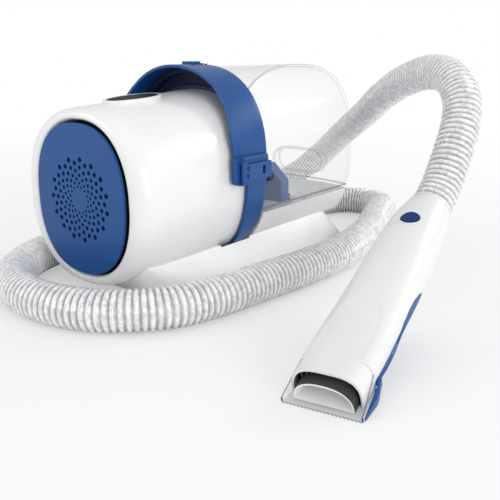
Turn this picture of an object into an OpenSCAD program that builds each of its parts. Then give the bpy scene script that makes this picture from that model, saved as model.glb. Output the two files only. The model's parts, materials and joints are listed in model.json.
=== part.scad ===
// Free-standing pet dryer: motor housing on a flared base, clear dust canister
// behind a blue bulkhead, corrugated hose and a flat grooming handpiece.
// The long axis lies along Y, the intake cover faces -Y and +Z is up.
// The origin is on the floor, under the middle of the base.

/* [Motor housing] */
// Half width of the housing where the front rim ends
front_half_w = 91; // [86:1:94]
// Half height of the housing where the front rim ends
front_half_h = 91; // [87:1:93]
// Half width of the housing at the bulkhead
rear_half_w = 94; // [90:0.5:94]
// Half height of the housing at the bulkhead
rear_half_h = 96; // [90:0.5:97]
// Height of the housing's axis above the floor
axis_h = 100.5; // [99:0.5:104]
// How far the top line climbs from the rim to the bulkhead
axis_rise = 5.5; // [0:0.5:6]
// Power of the housing's oval section (2 is an ellipse)
housing_power = 2.25; // [2.1:0.05:2.6]
// Wall of the housing
housing_wall = 3; // [2:0.5:4]
// Length from the front lip to the end of the housing
housing_len = 180; // [170:1:200]
// Depth of the rolled front rim
rim_depth = 24; // [18:1:30]
// Half width of the front opening
lip_half_w = 70; // [68:1:74]
// Half height of the front opening
lip_half_h = 82; // [79:1:84]
// Depth of the straight throat behind the lip
throat_depth = 15; // [12:1:18]

/* [Intake cover] */
// Gap all round between the cover and the lip
cover_gap = 5.7; // [4:0.1:8]
// Thickness of the cover
cover_t = 3; // [2:0.5:4]
// Number of rings of holes
hole_rings = 8; // [4:1:8]
// Holes in each ring
holes_per_ring = 15; // [12:1:16]
// Radius of the innermost ring of holes
hole_ring_first = 13.4; // [12:0.1:15]
// Radius of the outermost ring of holes
hole_ring_last = 41; // [36:0.5:46]
// Diameter of the innermost holes
hole_d_first = 2.7; // [2:0.1:3]
// Diameter of the outermost holes
hole_d_last = 5.3; // [4:0.1:6]
// Diameter of the stem that plugs into the intake frame
stem_d = 14; // [10:1:18]
// Thickness of the intake frame
frame_t = 3; // [2:0.5:5]
// Thickness of the foam filter
foam_t = 10; // [6:1:16]

/* [Display] */
// Half length of the glossy lens
lens_half_l = 33; // [26:1:38]
// Half width of the glossy lens
lens_half_w = 19; // [14:1:22]
// Width of the bezel round the lens
bezel_w = 3.5; // [3:0.5:7]
// Height of the bezel over the housing's top line
bezel_h = 2.5; // [2:0.5:5]
// Thickness of the lens
lens_t = 1.6; // [1:0.1:2.2]

/* [Blower] */
// Diameter of the motor
motor_d = 70; // [56:1:80]
// Length of the motor
motor_len = 82; // [60:1:90]
// Diameter of the motor shaft
shaft_d = 8; // [6:0.5:10]
// Diameter of the fan wheel
fan_d = 112; // [90:1:124]
// Width of the fan wheel
fan_w = 16; // [12:1:20]
// Number of fan blades
fan_blades = 9; // [7:1:13]
// Thickness of the rubber rings that hold the motor
mount_ring_t = 6; // [4:0.5:8]
// Thickness of the baffles and ribs inside the housing
baffle_t = 4; // [3:0.5:6]

/* [Carry arch and bulkhead] */
// Half width of the big oval that the arch, canister and tub share
big_half_w = 100; // [98:0.5:104]
// Half height of the big oval
big_half_h = 111; // [108:0.5:114]
// Height of the big oval's middle above the floor
big_mid_h = 118.5; // [116:0.5:121]
// Power of the big oval (2 is an ellipse)
big_power = 2.5; // [2.3:0.05:2.8]
// Thickness of the blue band
band_t = 3; // [2:0.5:4]
// Width of the band at the top of the arch
arch_top_w = 41; // [34:1:48]
// Width of the band where it meets the brackets
arch_side_w = 55; // [48:1:60]
// Width of the lower straps
strap_w = 34; // [28:1:38]
// Height of the pointed lower end of the straps
strap_foot_h = 30; // [26:1:34]
// Thickness of the bulkhead plate
bulkhead_t = 4; // [3:0.5:6]
// Radius of the air opening in the bulkhead
air_hole_r = 40; // [30:1:44]

/* [Side brackets and latches] */
// Length of the bracket plate
bracket_len = 56; // [54:1:66]
// Height of the bracket plate
bracket_h = 30; // [26:1:34]
// Height of the middle of the brackets above the floor
bracket_mid_h = 122; // [118:1:126]
// Thickness of the bracket plate
bracket_t = 4; // [3:0.5:5]
// Length of the latch plate
latch_len = 52; // [42:1:56]
// Height of the latch plate
latch_h = 18; // [16:1:20]
// Thickness of the latch plate
latch_t = 3.4; // [2.4:0.2:4.4]
// Diameter of the latch pins
latch_pin_d = 2.2; // [2:0.1:2.6]
// Diameter of the latch's knuckle
knuckle_d = 5; // [4.6:0.2:6]

/* [Dust canister] */
// Wall of the clear canister
clear_wall = 2.5; // [2:0.5:3.5]
// Distance from the bulkhead's rear face to the middle of the rear wall
canister_len = 207; // [195:1:215]
// Radius of the bowed rear wall, seen from above
rear_bow_r = 250; // [220:5:320]
// Height of the tray's underside above the floor
tray_h = 65; // [60:1:68]
// Thickness of the tray
tray_t = 5; // [3:0.5:6]
// Width of the pull loop
loop_w = 84; // [70:1:90]
// Height of the pull loop
loop_h = 34; // [30:1:38]
// How far the pull loop stands out behind the rear wall
loop_reach = 14; // [10:1:18]
// Distance of the stop blocks behind the bulkhead
block_y = 51; // [48:1:70]
// Length of a stop block along Y
block_len = 17; // [12:1:22]
// Distance from the middle to a stop block's outer face
block_out = 79; // [70:1:82]
// Width of a stop block
block_w = 32; // [26:1:38]
// Height of a stop block's outer edge
block_side_h = 25; // [18:1:30]
// Full height of a stop block
block_h = 45; // [36:1:48]

/* [Filter] */
// Outer radius of the filter's end caps
filter_r = 47; // [44:1:50]
// Length of the filter
filter_len = 42; // [30:1:46]
// Number of pleats
pleats = 36; // [24:2:48]

/* [Base] */
// Height of the rubber foot ring
foot_h = 3; // [2:0.5:5]
// Width of the strip that forms the foot ring
foot_strip_w = 8; // [6:1:12]
// Height of the skirt's top edge above the floor
skirt_h = 37; // [34:1:40]
// Half width of the skirt at its top edge
skirt_top_half_w = 75; // [72:1:78]
// Half width of the skirt at the floor
skirt_foot_half_w = 98; // [92:1:104]
// How far the skirt's ends lean rearwards between top and floor
skirt_lean = 25; // [15:1:30]
// Distance from the front lip back to the top of the skirt
skirt_setback = 6; // [2:1:12]
// Y of the skirt's rear edge at the top
skirt_rear = 175; // [168:1:180]
// Corner radius of the skirt at its top
skirt_corner_top = 30; // [15:1:40]
// Corner radius of the skirt at the floor
skirt_corner_foot = 45; // [30:1:55]
// Wall of the base
base_wall = 3; // [2:0.5:4]
// Thickness of the bottom plate
plate_t = 2.5; // [2:0.5:4]

/* [Handpiece] */
// Length of the handpiece along its axis
hand_len = 267; // [255:1:280]
// Angle of the handpiece above the floor
hand_pitch = 15; // [12:1:20]
// Turn of the handpiece seen from above
hand_yaw = 8.2; // [0:0.2:12]
// Half width of the handpiece
hand_half_w = 28; // [26:0.5:30]
// Wall of the handpiece
hand_wall = 2.4; // [2:0.2:3]
// Thickness of the blue underside
keel_t = 2.5; // [1.5:0.5:4]
// Length of the tail piece, which holds the button
tail_len = 63; // [58:1:70]
// Diameter of the push button
button_d = 17.5; // [14:0.5:20]
// Travel of the push button
button_travel = 1.6; // [1:0.1:2]
// Length of the grooming head
head_len = 33; // [30:1:38]
// Number of teeth on the clear guard
guard_teeth = 21; // [11:2:31]

/* [Fits] */
// Clearance between pieces that move against each other
move_gap = 0.3; // [0.2:0.05:0.5]
// Radial clearance of a turning pin
pin_gap = 0.05; // [0.02:0.01:0.08]

/* [Hidden] */

// Facets of the oval outlines, of round parts and of the handpiece's sections
oval_n = 64;
$fn = 40;
hand_n = 36;
// A hair of overlap for cuts
eps = 0.05;

// ---- places worked out from the sizes above ----
bulkhead_front = -bulkhead_t;
arch_rear = -2 * bulkhead_t;
housing_end = arch_rear;
lip_y = housing_end - housing_len;
rim_y = lip_y + rim_depth;
throat_y = lip_y + throat_depth;
rim_flange_y = arch_rear - 6;
cover_half_w = lip_half_w - cover_gap;
cover_half_h = lip_half_h - cover_gap;
hub_bore = stem_d + 2 * move_gap;
hub_d = hub_bore + 8;
hood_half_w = big_half_w - band_t;
hood_half_h = big_half_h - band_t;
hood_front = arch_rear + move_gap;
rim_half_w = hood_half_w - clear_wall - move_gap;
rim_half_h = hood_half_h - clear_wall - move_gap;
tray_top = tray_h + tray_t;
skirt_top_front = lip_y + skirt_setback;
skirt_foot_front = skirt_top_front + skirt_lean;
skirt_foot_rear = skirt_rear + skirt_lean;
bracket_y = arch_rear - 3 - bracket_len;
bracket_x = big_half_w;
latch_y = bracket_y + bracket_len - latch_len + 1;
latch_x = bracket_x + bracket_t + move_gap;
latch_mid_h = bracket_mid_h - 2;
latch_pin_x = latch_x + knuckle_d / 2;
latch_pin_y = latch_y + knuckle_d / 2;
tooth_y = latch_y + latch_len - 8;
motor_y = -32 - motor_len;
motor_z = axis_h + axis_rise;
fan_y = bulkhead_front - 4 - fan_w;
display_y = lip_y + 77;
filter_z = motor_z + 20;

tail_seam = hand_len - tail_len;

// ---- hose: outer diameter, bore and the points that it passes, from port to handpiece ----
hose_d = 40;
hose_bore_d = 33;
port_at = [0, 200, 27];
hand_tail_at = [286.6, -1.5, 90.9];
hose_route = [
    port_at, [0, 234, 25], [3, 268, 21], [10, 293, 20], [28, 311, 20], [53, 318, 20], [78, 311, 20],
    [96, 293, 20], [104, 266, 20], [120, 220, 20], [142, 162, 20], [164, 60, 20], [164, -20, 20],
    [156, -90, 20], [148, -152, 20], [131, -204, 20], [94, -242, 20], [45, -260, 20], [-6, -259, 20],
    [-52, -240, 20], [-84, -206, 20], [-107, -160, 20], [-118, -102, 20], [-120, -20, 20],
    [-120, 100, 20], [-122, 250, 20], [-110, 320, 29], [-89, 358, 51], [-54, 366, 81], [-6, 343, 117],
    [55, 300, 154], [107, 248, 183], [160, 202, 207], [212, 160, 220], [250, 127, 216], [274, 100, 196],
    [284, 76, 170], [287, 50, 141], [288, 24, 112], hand_tail_at];

// ---- general helpers ----
function oval(half_w, half_h, power, n = oval_n) = [
    for (i = [0:n - 1])
        let (turn = 360 * i / n, c = cos(turn), s = sin(turn))
        [half_w * sign(c) * pow(abs(c), 2 / power), half_h * sign(s) * pow(abs(s), 2 / power)]];
function mix(a, b, t) = a + (b - a) * t;
function unit(v) = v / norm(v);

// Sweeps closed rings of equal length into a closed loop of surfaces (a tube with a wall)
module ring_tube(rings) {
    n = len(rings[0]);
    m = len(rings);
    polyhedron(
        points = [for (ring = rings) each ring],
        faces = [
            for (i = [0:m - 1], j = [0:n - 1])
                let (a = i * n, b = ((i + 1) % m) * n, k = (j + 1) % n)
                [a + j, a + k, b + k, b + j]],
        convexity = 6);
}

// Skins rings from first to last and closes both ends
module ring_skin(rings) {
    n = len(rings[0]);
    m = len(rings);
    polyhedron(
        points = [for (ring = rings) each ring],
        faces = concat(
            [[for (j = [0:n - 1]) n - 1 - j]],
            [for (i = [0:m - 2], j = [0:n - 1]) let (a = i * n, k = (j + 1) % n) [a + j, a + k, a + n + k, a + n + j]],
            [[for (j = [0:n - 1]) (m - 1) * n + j]]),
        convexity = 6);
}

// Extrudes an outline drawn in X and Z from y0 to y1
module along_y(y0, y1) {
    translate([0, y1, 0])
        rotate([90, 0, 0])
            linear_extrude(y1 - y0)
                children();
}

module oval_plate(half_w, half_h, mid_h, power, y0, y1) {
    along_y(y0, y1)
        translate([0, mid_h])
            polygon(oval(half_w, half_h, power));
}

module big_oval(inset, y0, y1) {
    oval_plate(big_half_w - inset, big_half_h - inset, big_mid_h, big_power, y0, y1);
}

// Cylinder along Y from y0 to y1
module rod_y(d, y0, y1, x = 0, z = 0) {
    translate([x, y1, z])
        rotate([90, 0, 0])
            cylinder(d = d, h = y1 - y0);
}

// Block given by its low and high corners
module span(low, high) {
    translate(low)
        cube(high - low);
}

module both_sides() {
    children();
    mirror([1, 0, 0])
        children();
}

// ---- housing section at any place along Y ----
function along(y) = (y - rim_y) / (housing_end - rim_y);
function house_w(y) = mix(front_half_w, rear_half_w, along(y));
function house_h(y) = mix(front_half_h, rear_half_h, along(y));
function house_z(y) = mix(axis_h, axis_h + axis_rise, along(y));
function house_top(y) = house_z(y) + house_h(y);
top_slope = atan((house_top(housing_end) - house_top(rim_y)) / (housing_end - rim_y));
function house_ring(half_w, half_h, mid_h, y) = [
    for (p = oval(half_w, half_h, housing_power)) [p[0], y, mid_h + p[1]]];
function house_ring_at(y, inset) = house_ring(house_w(y) - inset, house_h(y) - inset, house_z(y), y);

// A plate that fits the housing's inside at y0, or stands out from it by `grow`
module house_plate(y0, y1, grow = 0) {
    y_small = grow > 0 ? y1 : y0;
    oval_plate(house_w(y_small) - housing_wall + grow, house_h(y_small) - housing_wall + grow,
        house_z(y_small), housing_power, y0, y1);
}

module housing_body(inset = 0) {
    ring_skin([for (y = [rim_y - 1, housing_end]) house_ring_at(y, inset)]);
}

// ======== motor housing and what it holds ========
// How full the rolled rim is: 2 is a quarter of an ellipse
roll_power = 2.6;

module motor_housing() {
    roll_steps = 7;
    roll = [
        for (i = [0:roll_steps])
            let (turn = 90 * i / roll_steps, out = pow(sin(turn), 2 / roll_power))
            house_ring(mix(lip_half_w, front_half_w, out), mix(lip_half_h, front_half_h, out),
                axis_h, lip_y + rim_depth * (1 - pow(cos(turn), 2 / roll_power)))];
    inner_steps = 3;
    inner_roll = [
        for (i = [inner_steps:-1:0])
            let (turn = 90 * i / inner_steps)
            house_ring(mix(lip_half_w + housing_wall, front_half_w - housing_wall, sin(turn)),
                mix(lip_half_h + housing_wall, front_half_h - housing_wall, sin(turn)),
                axis_h, throat_y - 8 + (rim_y - throat_y + 10) * (1 - cos(turn)))];
    throat_end = [
        house_ring(lip_half_w + housing_wall, lip_half_h + housing_wall, axis_h, throat_y),
        house_ring(lip_half_w, lip_half_h, axis_h, throat_y)];
    color("white")
        difference() {
            ring_tube(concat(
                roll, [house_ring_at(housing_end, 0), house_ring_at(housing_end, housing_wall)],
                inner_roll, throat_end));
            // cable hole under the display
            at_display()
                cylinder(d = cable_hole_d, h = 40, center = true);
        }
}

// Holes of the intake cover: each ring is turned by half a step against the last
module cover_holes() {
    for (ring = [0:hole_rings - 1])
        let (t = ring / max(1, hole_rings - 1))
            for (i = [0:holes_per_ring - 1])
                rotate((i + (ring % 2) / 2) * 360 / holes_per_ring)
                    translate([mix(hole_ring_first, hole_ring_last, t), 0])
                        circle(d = mix(hole_d_first, hole_d_last, t), $fn = 14);
}

module intake_cover() {
    color("royalblue") {
        along_y(lip_y - 2, lip_y - 2 + cover_t)
            translate([0, axis_h])
                difference() {
                    polygon(oval(cover_half_w, cover_half_h, housing_power + 0.1));
                    cover_holes();
                }
        rod_y(stem_d, lip_y - 2 + cover_t - eps, throat_y + frame_t - 1, 0, axis_h);
    }
}

module intake_frame() {
    hoop_w = 8;
    color("dimgray") {
        difference() {
            union() {
                difference() {
                    oval_plate(lip_half_w + housing_wall, lip_half_h + housing_wall, axis_h, housing_power,
                        throat_y, throat_y + frame_t);
                    oval_plate(lip_half_w + housing_wall - hoop_w, lip_half_h + housing_wall - hoop_w, axis_h,
                        housing_power, throat_y - eps, throat_y + frame_t + eps);
                }
                for (turn = [0, 60, 120])
                    translate([0, throat_y, axis_h])
                        rotate([0, turn, 0])
                            translate([-lip_half_w, 0, -2])
                                cube([2 * lip_half_w, frame_t, 4]);
                rod_y(hub_d, throat_y - 4, throat_y + frame_t, 0, axis_h);
            }
            rod_y(hub_bore, throat_y - 5, throat_y + frame_t + eps, 0, axis_h);
        }
    }
}

module foam_filter() {
    color("darkslategray")
        oval_plate(lip_half_w, lip_half_h, axis_h, housing_power, throat_y + frame_t, throat_y + frame_t + foam_t);
}

cable_hole_d = 12;

// Frame of the display: its flat top face is z = 0
module at_display() {
    translate([0, display_y, house_top(display_y) + bezel_h])
        rotate([top_slope, 0, 0])
            children();
}

module display_bezel() {
    color("white")
        difference() {
            at_display()
                translate([0, 0, -bezel_h - 8])
                    linear_extrude(bezel_h + 8)
                        polygon(oval(lens_half_w + bezel_w, lens_half_l + bezel_w, 2));
            housing_body();
            at_display() {
                translate([0, 0, -lens_t])
                    linear_extrude(lens_t + 1)
                        polygon(oval(lens_half_w, lens_half_l, 2));
                cylinder(d = cable_hole_d, h = 40, center = true);
            }
        }
}

module display_lens() {
    color("black")
        at_display()
            translate([0, 0, -lens_t])
                linear_extrude(lens_t)
                    polygon(oval(lens_half_w, lens_half_l, 2));
}

module control_board() {
    board_top = axis_h + front_half_h - housing_wall - 12;
    front = throat_y + frame_t + foam_t + 5;
    back = mount_y[0] - 5;
    color("darkgreen") {
        span([-26, front, board_top - 1.6], [26, back, board_top]);
        // standoffs up to the housing's roof
        for (x = [-16, 16], y = [front + 7, back - 7])
            intersection() {
                translate([x, y, board_top - eps])
                    cylinder(d = 6, h = 30);
                housing_body(housing_wall + seat_gap);
            }
        span([-9, front + 8, board_top - 9.6], [9, back - 12, board_top - 1.55]);
    }
}

module motor() {
    shaft_bore = shaft_d + 2 * pin_gap;
    color("silver")
        translate([0, motor_y + motor_len, motor_z])
            rotate([90, 0, 0])
                rotate_extrude()
                    polygon([
                        [shaft_bore / 2, 0], [15, 0], [15, 4], [motor_d / 2 - 4, 4], [motor_d / 2, 8],
                        [motor_d / 2, motor_len - 8], [motor_d / 2 - 4, motor_len - 4], [14, motor_len - 4],
                        [14, motor_len], [shaft_bore / 2, motor_len]]);
}

mount_y = [motor_y + 12, motor_y + motor_len - 16];
ring_od = motor_d + 2 * mount_ring_t;

module motor_mounts() {
    color("black")
        for (y = mount_y)
            difference() {
                rod_y(ring_od, y, y + baffle_t, 0, motor_z);
                rod_y(motor_d, y - eps, y + baffle_t + eps, 0, motor_z);
            }
}

module baffle(y) {
    difference() {
        house_plate(y, y + baffle_t, -seat_gap);
        rod_y(ring_od, y - eps, y + baffle_t + eps, 0, motor_z);
        // air windows round the motor
        for (turn = [30:60:330])
            translate([0, 0, motor_z])
                rotate([0, turn, 0])
                    rod_y(22, y - eps, y + baffle_t + eps, 0, ring_od / 2 + 18);
    }
}

module front_baffle() {
    color("gainsboro")
        baffle(mount_y[0]);
}

module rear_baffle() {
    color("gainsboro")
        baffle(mount_y[1]);
}

module fan_wheel() {
    hub_r = 14;
    color("dimgray") {
        rod_y(shaft_d, motor_y + 2, fan_y + fan_w, 0, motor_z);
        translate([0, fan_y, motor_z])
            rotate([-90, 0, 0]) {
                cylinder(r = hub_r, h = fan_w);
                cylinder(d = fan_d, h = 2);
                for (i = [0:fan_blades - 1])
                    rotate(i * 360 / fan_blades)
                        translate([hub_r - 0.5, -1, 1.9])
                            rotate(-25)
                                cube([(fan_d / 2 - hub_r) * 0.95, 2, fan_w - 2]);
            }
    }
}

// Coil frame of the heater, between the foam filter and the motor
module heater_frame() {
    y0 = motor_y - 36;
    leg_in = ring_od / 2 + 1;
    color("peru")
        difference() {
            union() {
                for (turn = [0, 90])
                    translate([0, y0, motor_z])
                        rotate([0, turn, 0])
                            translate([-leg_in - 1, 0, -1])
                                cube([2 * leg_in + 2, 24, 2]);
                for (y = [3, 10, 17])
                    difference() {
                        rod_y(66, y0 + y, y0 + y + 3, 0, motor_z);
                        rod_y(60, y0 + y - eps, y0 + y + 3 + eps, 0, motor_z);
                    }
                // legs back to the front baffle
                for (turn = [0, 90, 180, 270])
                    translate([0, 0, motor_z])
                        rotate([0, turn, 0])
                            span([leg_in, y0, -2], [leg_in + 4, mount_y[0], 2]);
            }
            rod_y(shaft_d + 8, y0 - eps, y0 + 30, 0, motor_z);
        }
}

// ======== bulkhead, arch and straps ========
module bulkhead() {
    color("midnightblue")
        difference() {
            union() {
                oval_plate(rim_half_w, rim_half_h, big_mid_h, big_power, arch_rear, 0);
                big_oval(band_t, rim_flange_y, arch_rear);
            }
            // hollow in front of the plate
            oval_plate(rim_half_w - 4, rim_half_h - 4, big_mid_h, big_power, rim_flange_y - eps, bulkhead_front);
            rod_y(2 * air_hole_r, bulkhead_front - eps, eps, 0, filter_z);
            housing_body();
            // pocket of the catch spring
            translate([0, spring_y, spring_seat])
                cylinder(d = spring_d + 0.4, h = 20);
        }
}

module seal_collar() {
    color("midnightblue")
        difference() {
            intersection() {
                house_plate(housing_end - 5, housing_end, housing_wall + 4);
                oval_plate(rim_half_w - 4, rim_half_h - 4, big_mid_h, big_power, -30, 0);
            }
            housing_body();
        }
}

// Hoop that grows from a round front to the big oval at its rear
module arch_hoop(inset, past) {
    ring_skin([
        for (edge = [
            [arch_rear - arch_side_w - past, arch_power], [rim_flange_y, big_power], [arch_rear + past, big_power]])
            [for (p = oval(big_half_w - inset, big_half_h - inset, edge[1])) [p[0], edge[0], big_mid_h + p[1]]]]);
}

// The blue band is cut from a hoop by its outline seen from the side
module band(outline, arched = false) {
    color("royalblue")
        intersection() {
            difference() {
                if (arched) {
                    arch_hoop(0, 0);
                } else {
                    big_oval(0, -90, arch_rear);
                }
                if (arched) {
                    arch_hoop(band_t, 0.1);
                } else {
                    big_oval(band_t, -91, arch_rear + 1);
                }
            }
            translate([-150, 0, 0])
                rotate([90, 0, 90])
                    linear_extrude(300)
                        polygon(outline);
        }
}

arch_power = 1.9;

module carry_arch() {
    top = big_mid_h + big_half_h + 1;
    low = bracket_mid_h + bracket_h / 2;
    difference() {
        band([
            [arch_rear, top], [arch_rear - arch_top_w, top], [arch_rear - arch_top_w, top - 22],
            [arch_rear - arch_top_w - 4, top - 48], [arch_rear - arch_side_w + 2, low + 22],
            [arch_rear - arch_side_w, low], [arch_rear, low]], arched = true);
        // slot for the catch tab
        span([-tab_w / 2 - move_gap, tab_y - move_gap, top - 12],
            [tab_w / 2 + move_gap, arch_rear + 1, top + 2]);
    }
}

module strap(side) {
    front = arch_rear - strap_w;
    low = bracket_mid_h - bracket_h / 2;
    intersection() {
        band([
            [arch_rear - 2, low], [front, low], [front, 80], [front + 2, strap_foot_h + 22],
            [front + 4, strap_foot_h], [arch_rear - 10, strap_foot_h + 8], [arch_rear - 2, strap_foot_h + 26]]);
        span([side > 0 ? 0 : -160, -100, 0], [side > 0 ? 160 : 0, 10, 200]);
    }
}

module strap_right() {
    strap(1);
}

module strap_left() {
    strap(-1);
}

// ======== side brackets and latches ========
module rounded_plate(length, height, thick, corner) {
    rotate([90, 0, 90])
        linear_extrude(thick)
            hull()
                for (y = [corner, length - corner], z = [corner - height / 2, height / 2 - corner])
                    translate([y, z])
                        circle(r = corner, $fn = 24);
}

module bracket() {
    color("royalblue")
        difference() {
            union() {
                translate([bracket_x - band_t, bracket_y, bracket_mid_h])
                    rounded_plate(bracket_len, bracket_h, bracket_t + band_t, 5);
                // top lip over the latch
                translate([bracket_x - band_t, bracket_y + 6, bracket_mid_h + bracket_h / 2 - 3])
                    cube([bracket_t + band_t + 3, bracket_len - 12, 3]);
                // two ears that carry the latch pin
                for (z = [-latch_h / 2 - move_gap - 3, latch_h / 2 + move_gap])
                    translate([latch_x - 1, latch_pin_y - 3, latch_mid_h + z])
                        cube([knuckle_d + 1, 6, 3]);
            }
            // seat on the oval of the bulkhead
            big_oval(band_t, -100, 10);
            // window for the latch's tooth
            span([0, tooth_y - move_gap, latch_mid_h - 5 - move_gap],
                [latch_x - 0.1, tooth_y + 4 + 4 * move_gap, latch_mid_h + 5 + move_gap]);
            translate([latch_pin_x, latch_pin_y, 0])
                cylinder(d = latch_pin_d, h = 200);
        }
}

module bracket_right() {
    bracket();
}

module bracket_left() {
    mirror([1, 0, 0])
        bracket();
}

module latch() {
    color("royalblue")
        difference() {
            union() {
                translate([latch_x, latch_pin_y, latch_mid_h])
                    rounded_plate(latch_len - knuckle_d / 2, latch_h, latch_t, 2);
                // knuckle round the pin
                translate([latch_pin_x, latch_pin_y, latch_mid_h - latch_h / 2])
                    cylinder(d = knuckle_d, h = latch_h);
                // tooth that snaps into the bracket's window
                span([latch_x - bracket_t + 1, tooth_y, latch_mid_h - 5],
                    [latch_x + 1, tooth_y + 4, latch_mid_h + 5]);
                // two studs in front of the plate
                for (z = [-4, 4])
                    translate([latch_x + latch_t - 0.5, latch_pin_y + 9, latch_mid_h + z])
                        rotate([0, 90, 0])
                            cylinder(d = 5, h = 2, $fn = 20);
            }
            translate([latch_pin_x, latch_pin_y, 0])
                cylinder(d = latch_pin_d + 2 * pin_gap, h = 200);
            // finger slot
            span([latch_x - 1, tooth_y - 8, latch_mid_h - 4], [latch_x + 20, tooth_y - 3, latch_mid_h + 5]);
        }
}

module latch_right() {
    latch();
}

module latch_left() {
    mirror([1, 0, 0])
        latch();
}

module latch_pins() {
    half = latch_h / 2 + move_gap + 3;
    color("silver")
        both_sides()
            translate([latch_pin_x, latch_pin_y, latch_mid_h - half])
                cylinder(d = latch_pin_d, h = 2 * half);
}

// ======== top catch ========
tab_w = 16;
tab_len = 17;
tab_y = arch_rear - tab_len;
tab_top = big_mid_h + big_half_h + 3;
tab_under = tab_top - 3.5;
spring_d = 4;
spring_y = (rim_flange_y + arch_rear) / 2;
spring_seat = big_mid_h + hood_half_h - 5;

module catch_tab() {
    under_band = big_mid_h + hood_half_h - move_gap;
    color("royalblue") {
        span([-tab_w / 2, tab_y, tab_under], [tab_w / 2, arch_rear, tab_top]);
        // foot with lips that keep the tab in its slot
        span([-5, tab_y + 1, under_band - 2.5], [5, rim_flange_y - 1, tab_under + 1]);
        span([-11, tab_y + 1, under_band - 2.7], [11, rim_flange_y - 1, under_band - 0.3]);
    }
}

module catch_spring() {
    color("silver")
        translate([0, spring_y, spring_seat])
            difference() {
                cylinder(d = spring_d, h = tab_under - spring_seat);
                translate([0, 0, -eps])
                    cylinder(d = spring_d - 1.6, h = 40);
            }
}

// ======== dust canister ========
// Everything inside the oval and in front of the bowed rear wall
module canister_body(inset, y0, z0, z1) {
    intersection() {
        oval_plate(hood_half_w - inset, hood_half_h - inset, big_mid_h, big_power, y0, canister_len + 20);
        translate([0, canister_len - rear_bow_r, z0])
            cylinder(r = rear_bow_r - inset, h = z1 - z0, $fn = 180);
    }
}

module canister_hood() {
    color("lightcyan", 0.35)
        difference() {
            canister_body(0, hood_front, tray_top, 260);
            canister_body(clear_wall, hood_front - 1, tray_top - 1, 260);
        }
}

module canister_tray() {
    color("lightcyan", 0.35)
        difference() {
            canister_body(0, hood_front, tray_h + move_gap, tray_top);
            // room for the bulkhead, and a sunk floor behind it
            oval_plate(rim_half_w + move_gap, rim_half_h + move_gap, big_mid_h, big_power, hood_front - 1, move_gap);
            canister_body(6, move_gap + clear_wall, tray_h + clear_wall, tray_top + 1);
            // air inlet
            translate([0, inlet_y, tray_h - 1])
                cylinder(d = 2 * duct_r, h = tray_t + 2);
        }
}

// Clear hook behind the catch tab
module catch_hook() {
    color("lightcyan", 0.35)
        difference() {
            span([-7, hood_front, big_mid_h + hood_half_h - 2], [7, hood_front + 18, tab_top - 1]);
            canister_body(0, hood_front - 1, tray_top, 260);
        }
}

module stadium(width, height) {
    hull()
        for (x = [-1, 1])
            translate([x * (width - height) / 2, 0])
                circle(d = height);
}

module pull_loop() {
    color("lightcyan", 0.35)
        difference() {
            along_y(canister_len - 8, canister_len + loop_reach)
                translate([0, tray_top + loop_h / 2 + 6])
                    difference() {
                        stadium(loop_w, loop_h);
                        stadium(loop_w - 2 * clear_wall, loop_h - 2 * clear_wall);
                    }
            canister_body(0, hood_front, tray_top, 260);
        }
}

// Wedge-topped block that stands on the sunk floor of the tray
module stop_block() {
    floor_z = tray_h + clear_wall;
    inner = block_out - block_w;
    color("royalblue") {
        along_y(block_y, block_y + block_len)
            polygon([
                [inner, floor_z], [block_out, floor_z], [block_out, floor_z + block_side_h],
                [block_out - 21, floor_z + block_h], [inner, floor_z + block_h]]);
        span([inner - 2, block_y - 2, floor_z], [block_out + 2, block_y + block_len + 2, floor_z + 3]);
    }
}

module stop_block_right() {
    stop_block();
}

module stop_block_left() {
    mirror([1, 0, 0])
        stop_block();
}

// Round studs on the hood's sides, beside the latches' ends
module guide_studs() {
    color("midnightblue")
        difference() {
            both_sides()
                translate([hood_half_w - 4, hood_front + 5, bracket_mid_h - bracket_h / 2 + 1])
                    rotate([0, 90, 0])
                        cylinder(d = 9, h = 10);
            canister_body(0, hood_front - 1, tray_top, 260);
        }
}

module tray_screws() {
    color("silver")
        both_sides()
            translate([block_out - 9, block_y + block_len + 16, tray_h + clear_wall])
                difference() {
                    cylinder(d = 10, h = 5);
                    translate([0, 0, 2])
                        cylinder(d = 5, h = 5, $fn = 6);
                }
}

// ======== filter ========
module filter_pleats() {
    r_out = filter_r - 3;
    r_in = filter_r - 11;
    color("ivory")
        along_y(4, filter_len - 4)
            translate([0, filter_z])
                difference() {
                    polygon([
                        for (i = [0:2 * pleats - 1])
                            let (r = i % 2 == 0 ? r_out : r_in, turn = 180 * i / pleats)
                            [r * cos(turn), r * sin(turn)]]);
                    circle(r = r_in - 3);
                }
}

module filter_caps() {
    color("royalblue") {
        difference() {
            rod_y(2 * filter_r, 0, 4, 0, filter_z);
            rod_y(2 * (filter_r - 14), -eps, 4 + eps, 0, filter_z);
        }
        rod_y(2 * filter_r, filter_len - 4, filter_len, 0, filter_z);
        // core tube with windows joins both caps
        difference() {
            rod_y(2 * (filter_r - 14), 3.9, filter_len - 3.9, 0, filter_z);
            rod_y(2 * (filter_r - 16), 3, filter_len - 4, 0, filter_z);
            for (turn = [0:45:315])
                translate([0, 0, filter_z])
                    rotate([0, turn, 0])
                        span([20, 8, -8], [filter_r, filter_len - 8, 8]);
        }
    }
}

// ======== base ========
module round_slab(half_w, y0, y1, corner, z) {
    translate([0, 0, z])
        linear_extrude(eps)
            hull()
                for (x = [-1, 1], y = [y0 + corner, y1 - corner])
                    translate([x * (half_w - corner), y])
                        circle(r = corner, $fn = 32);
}

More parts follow.
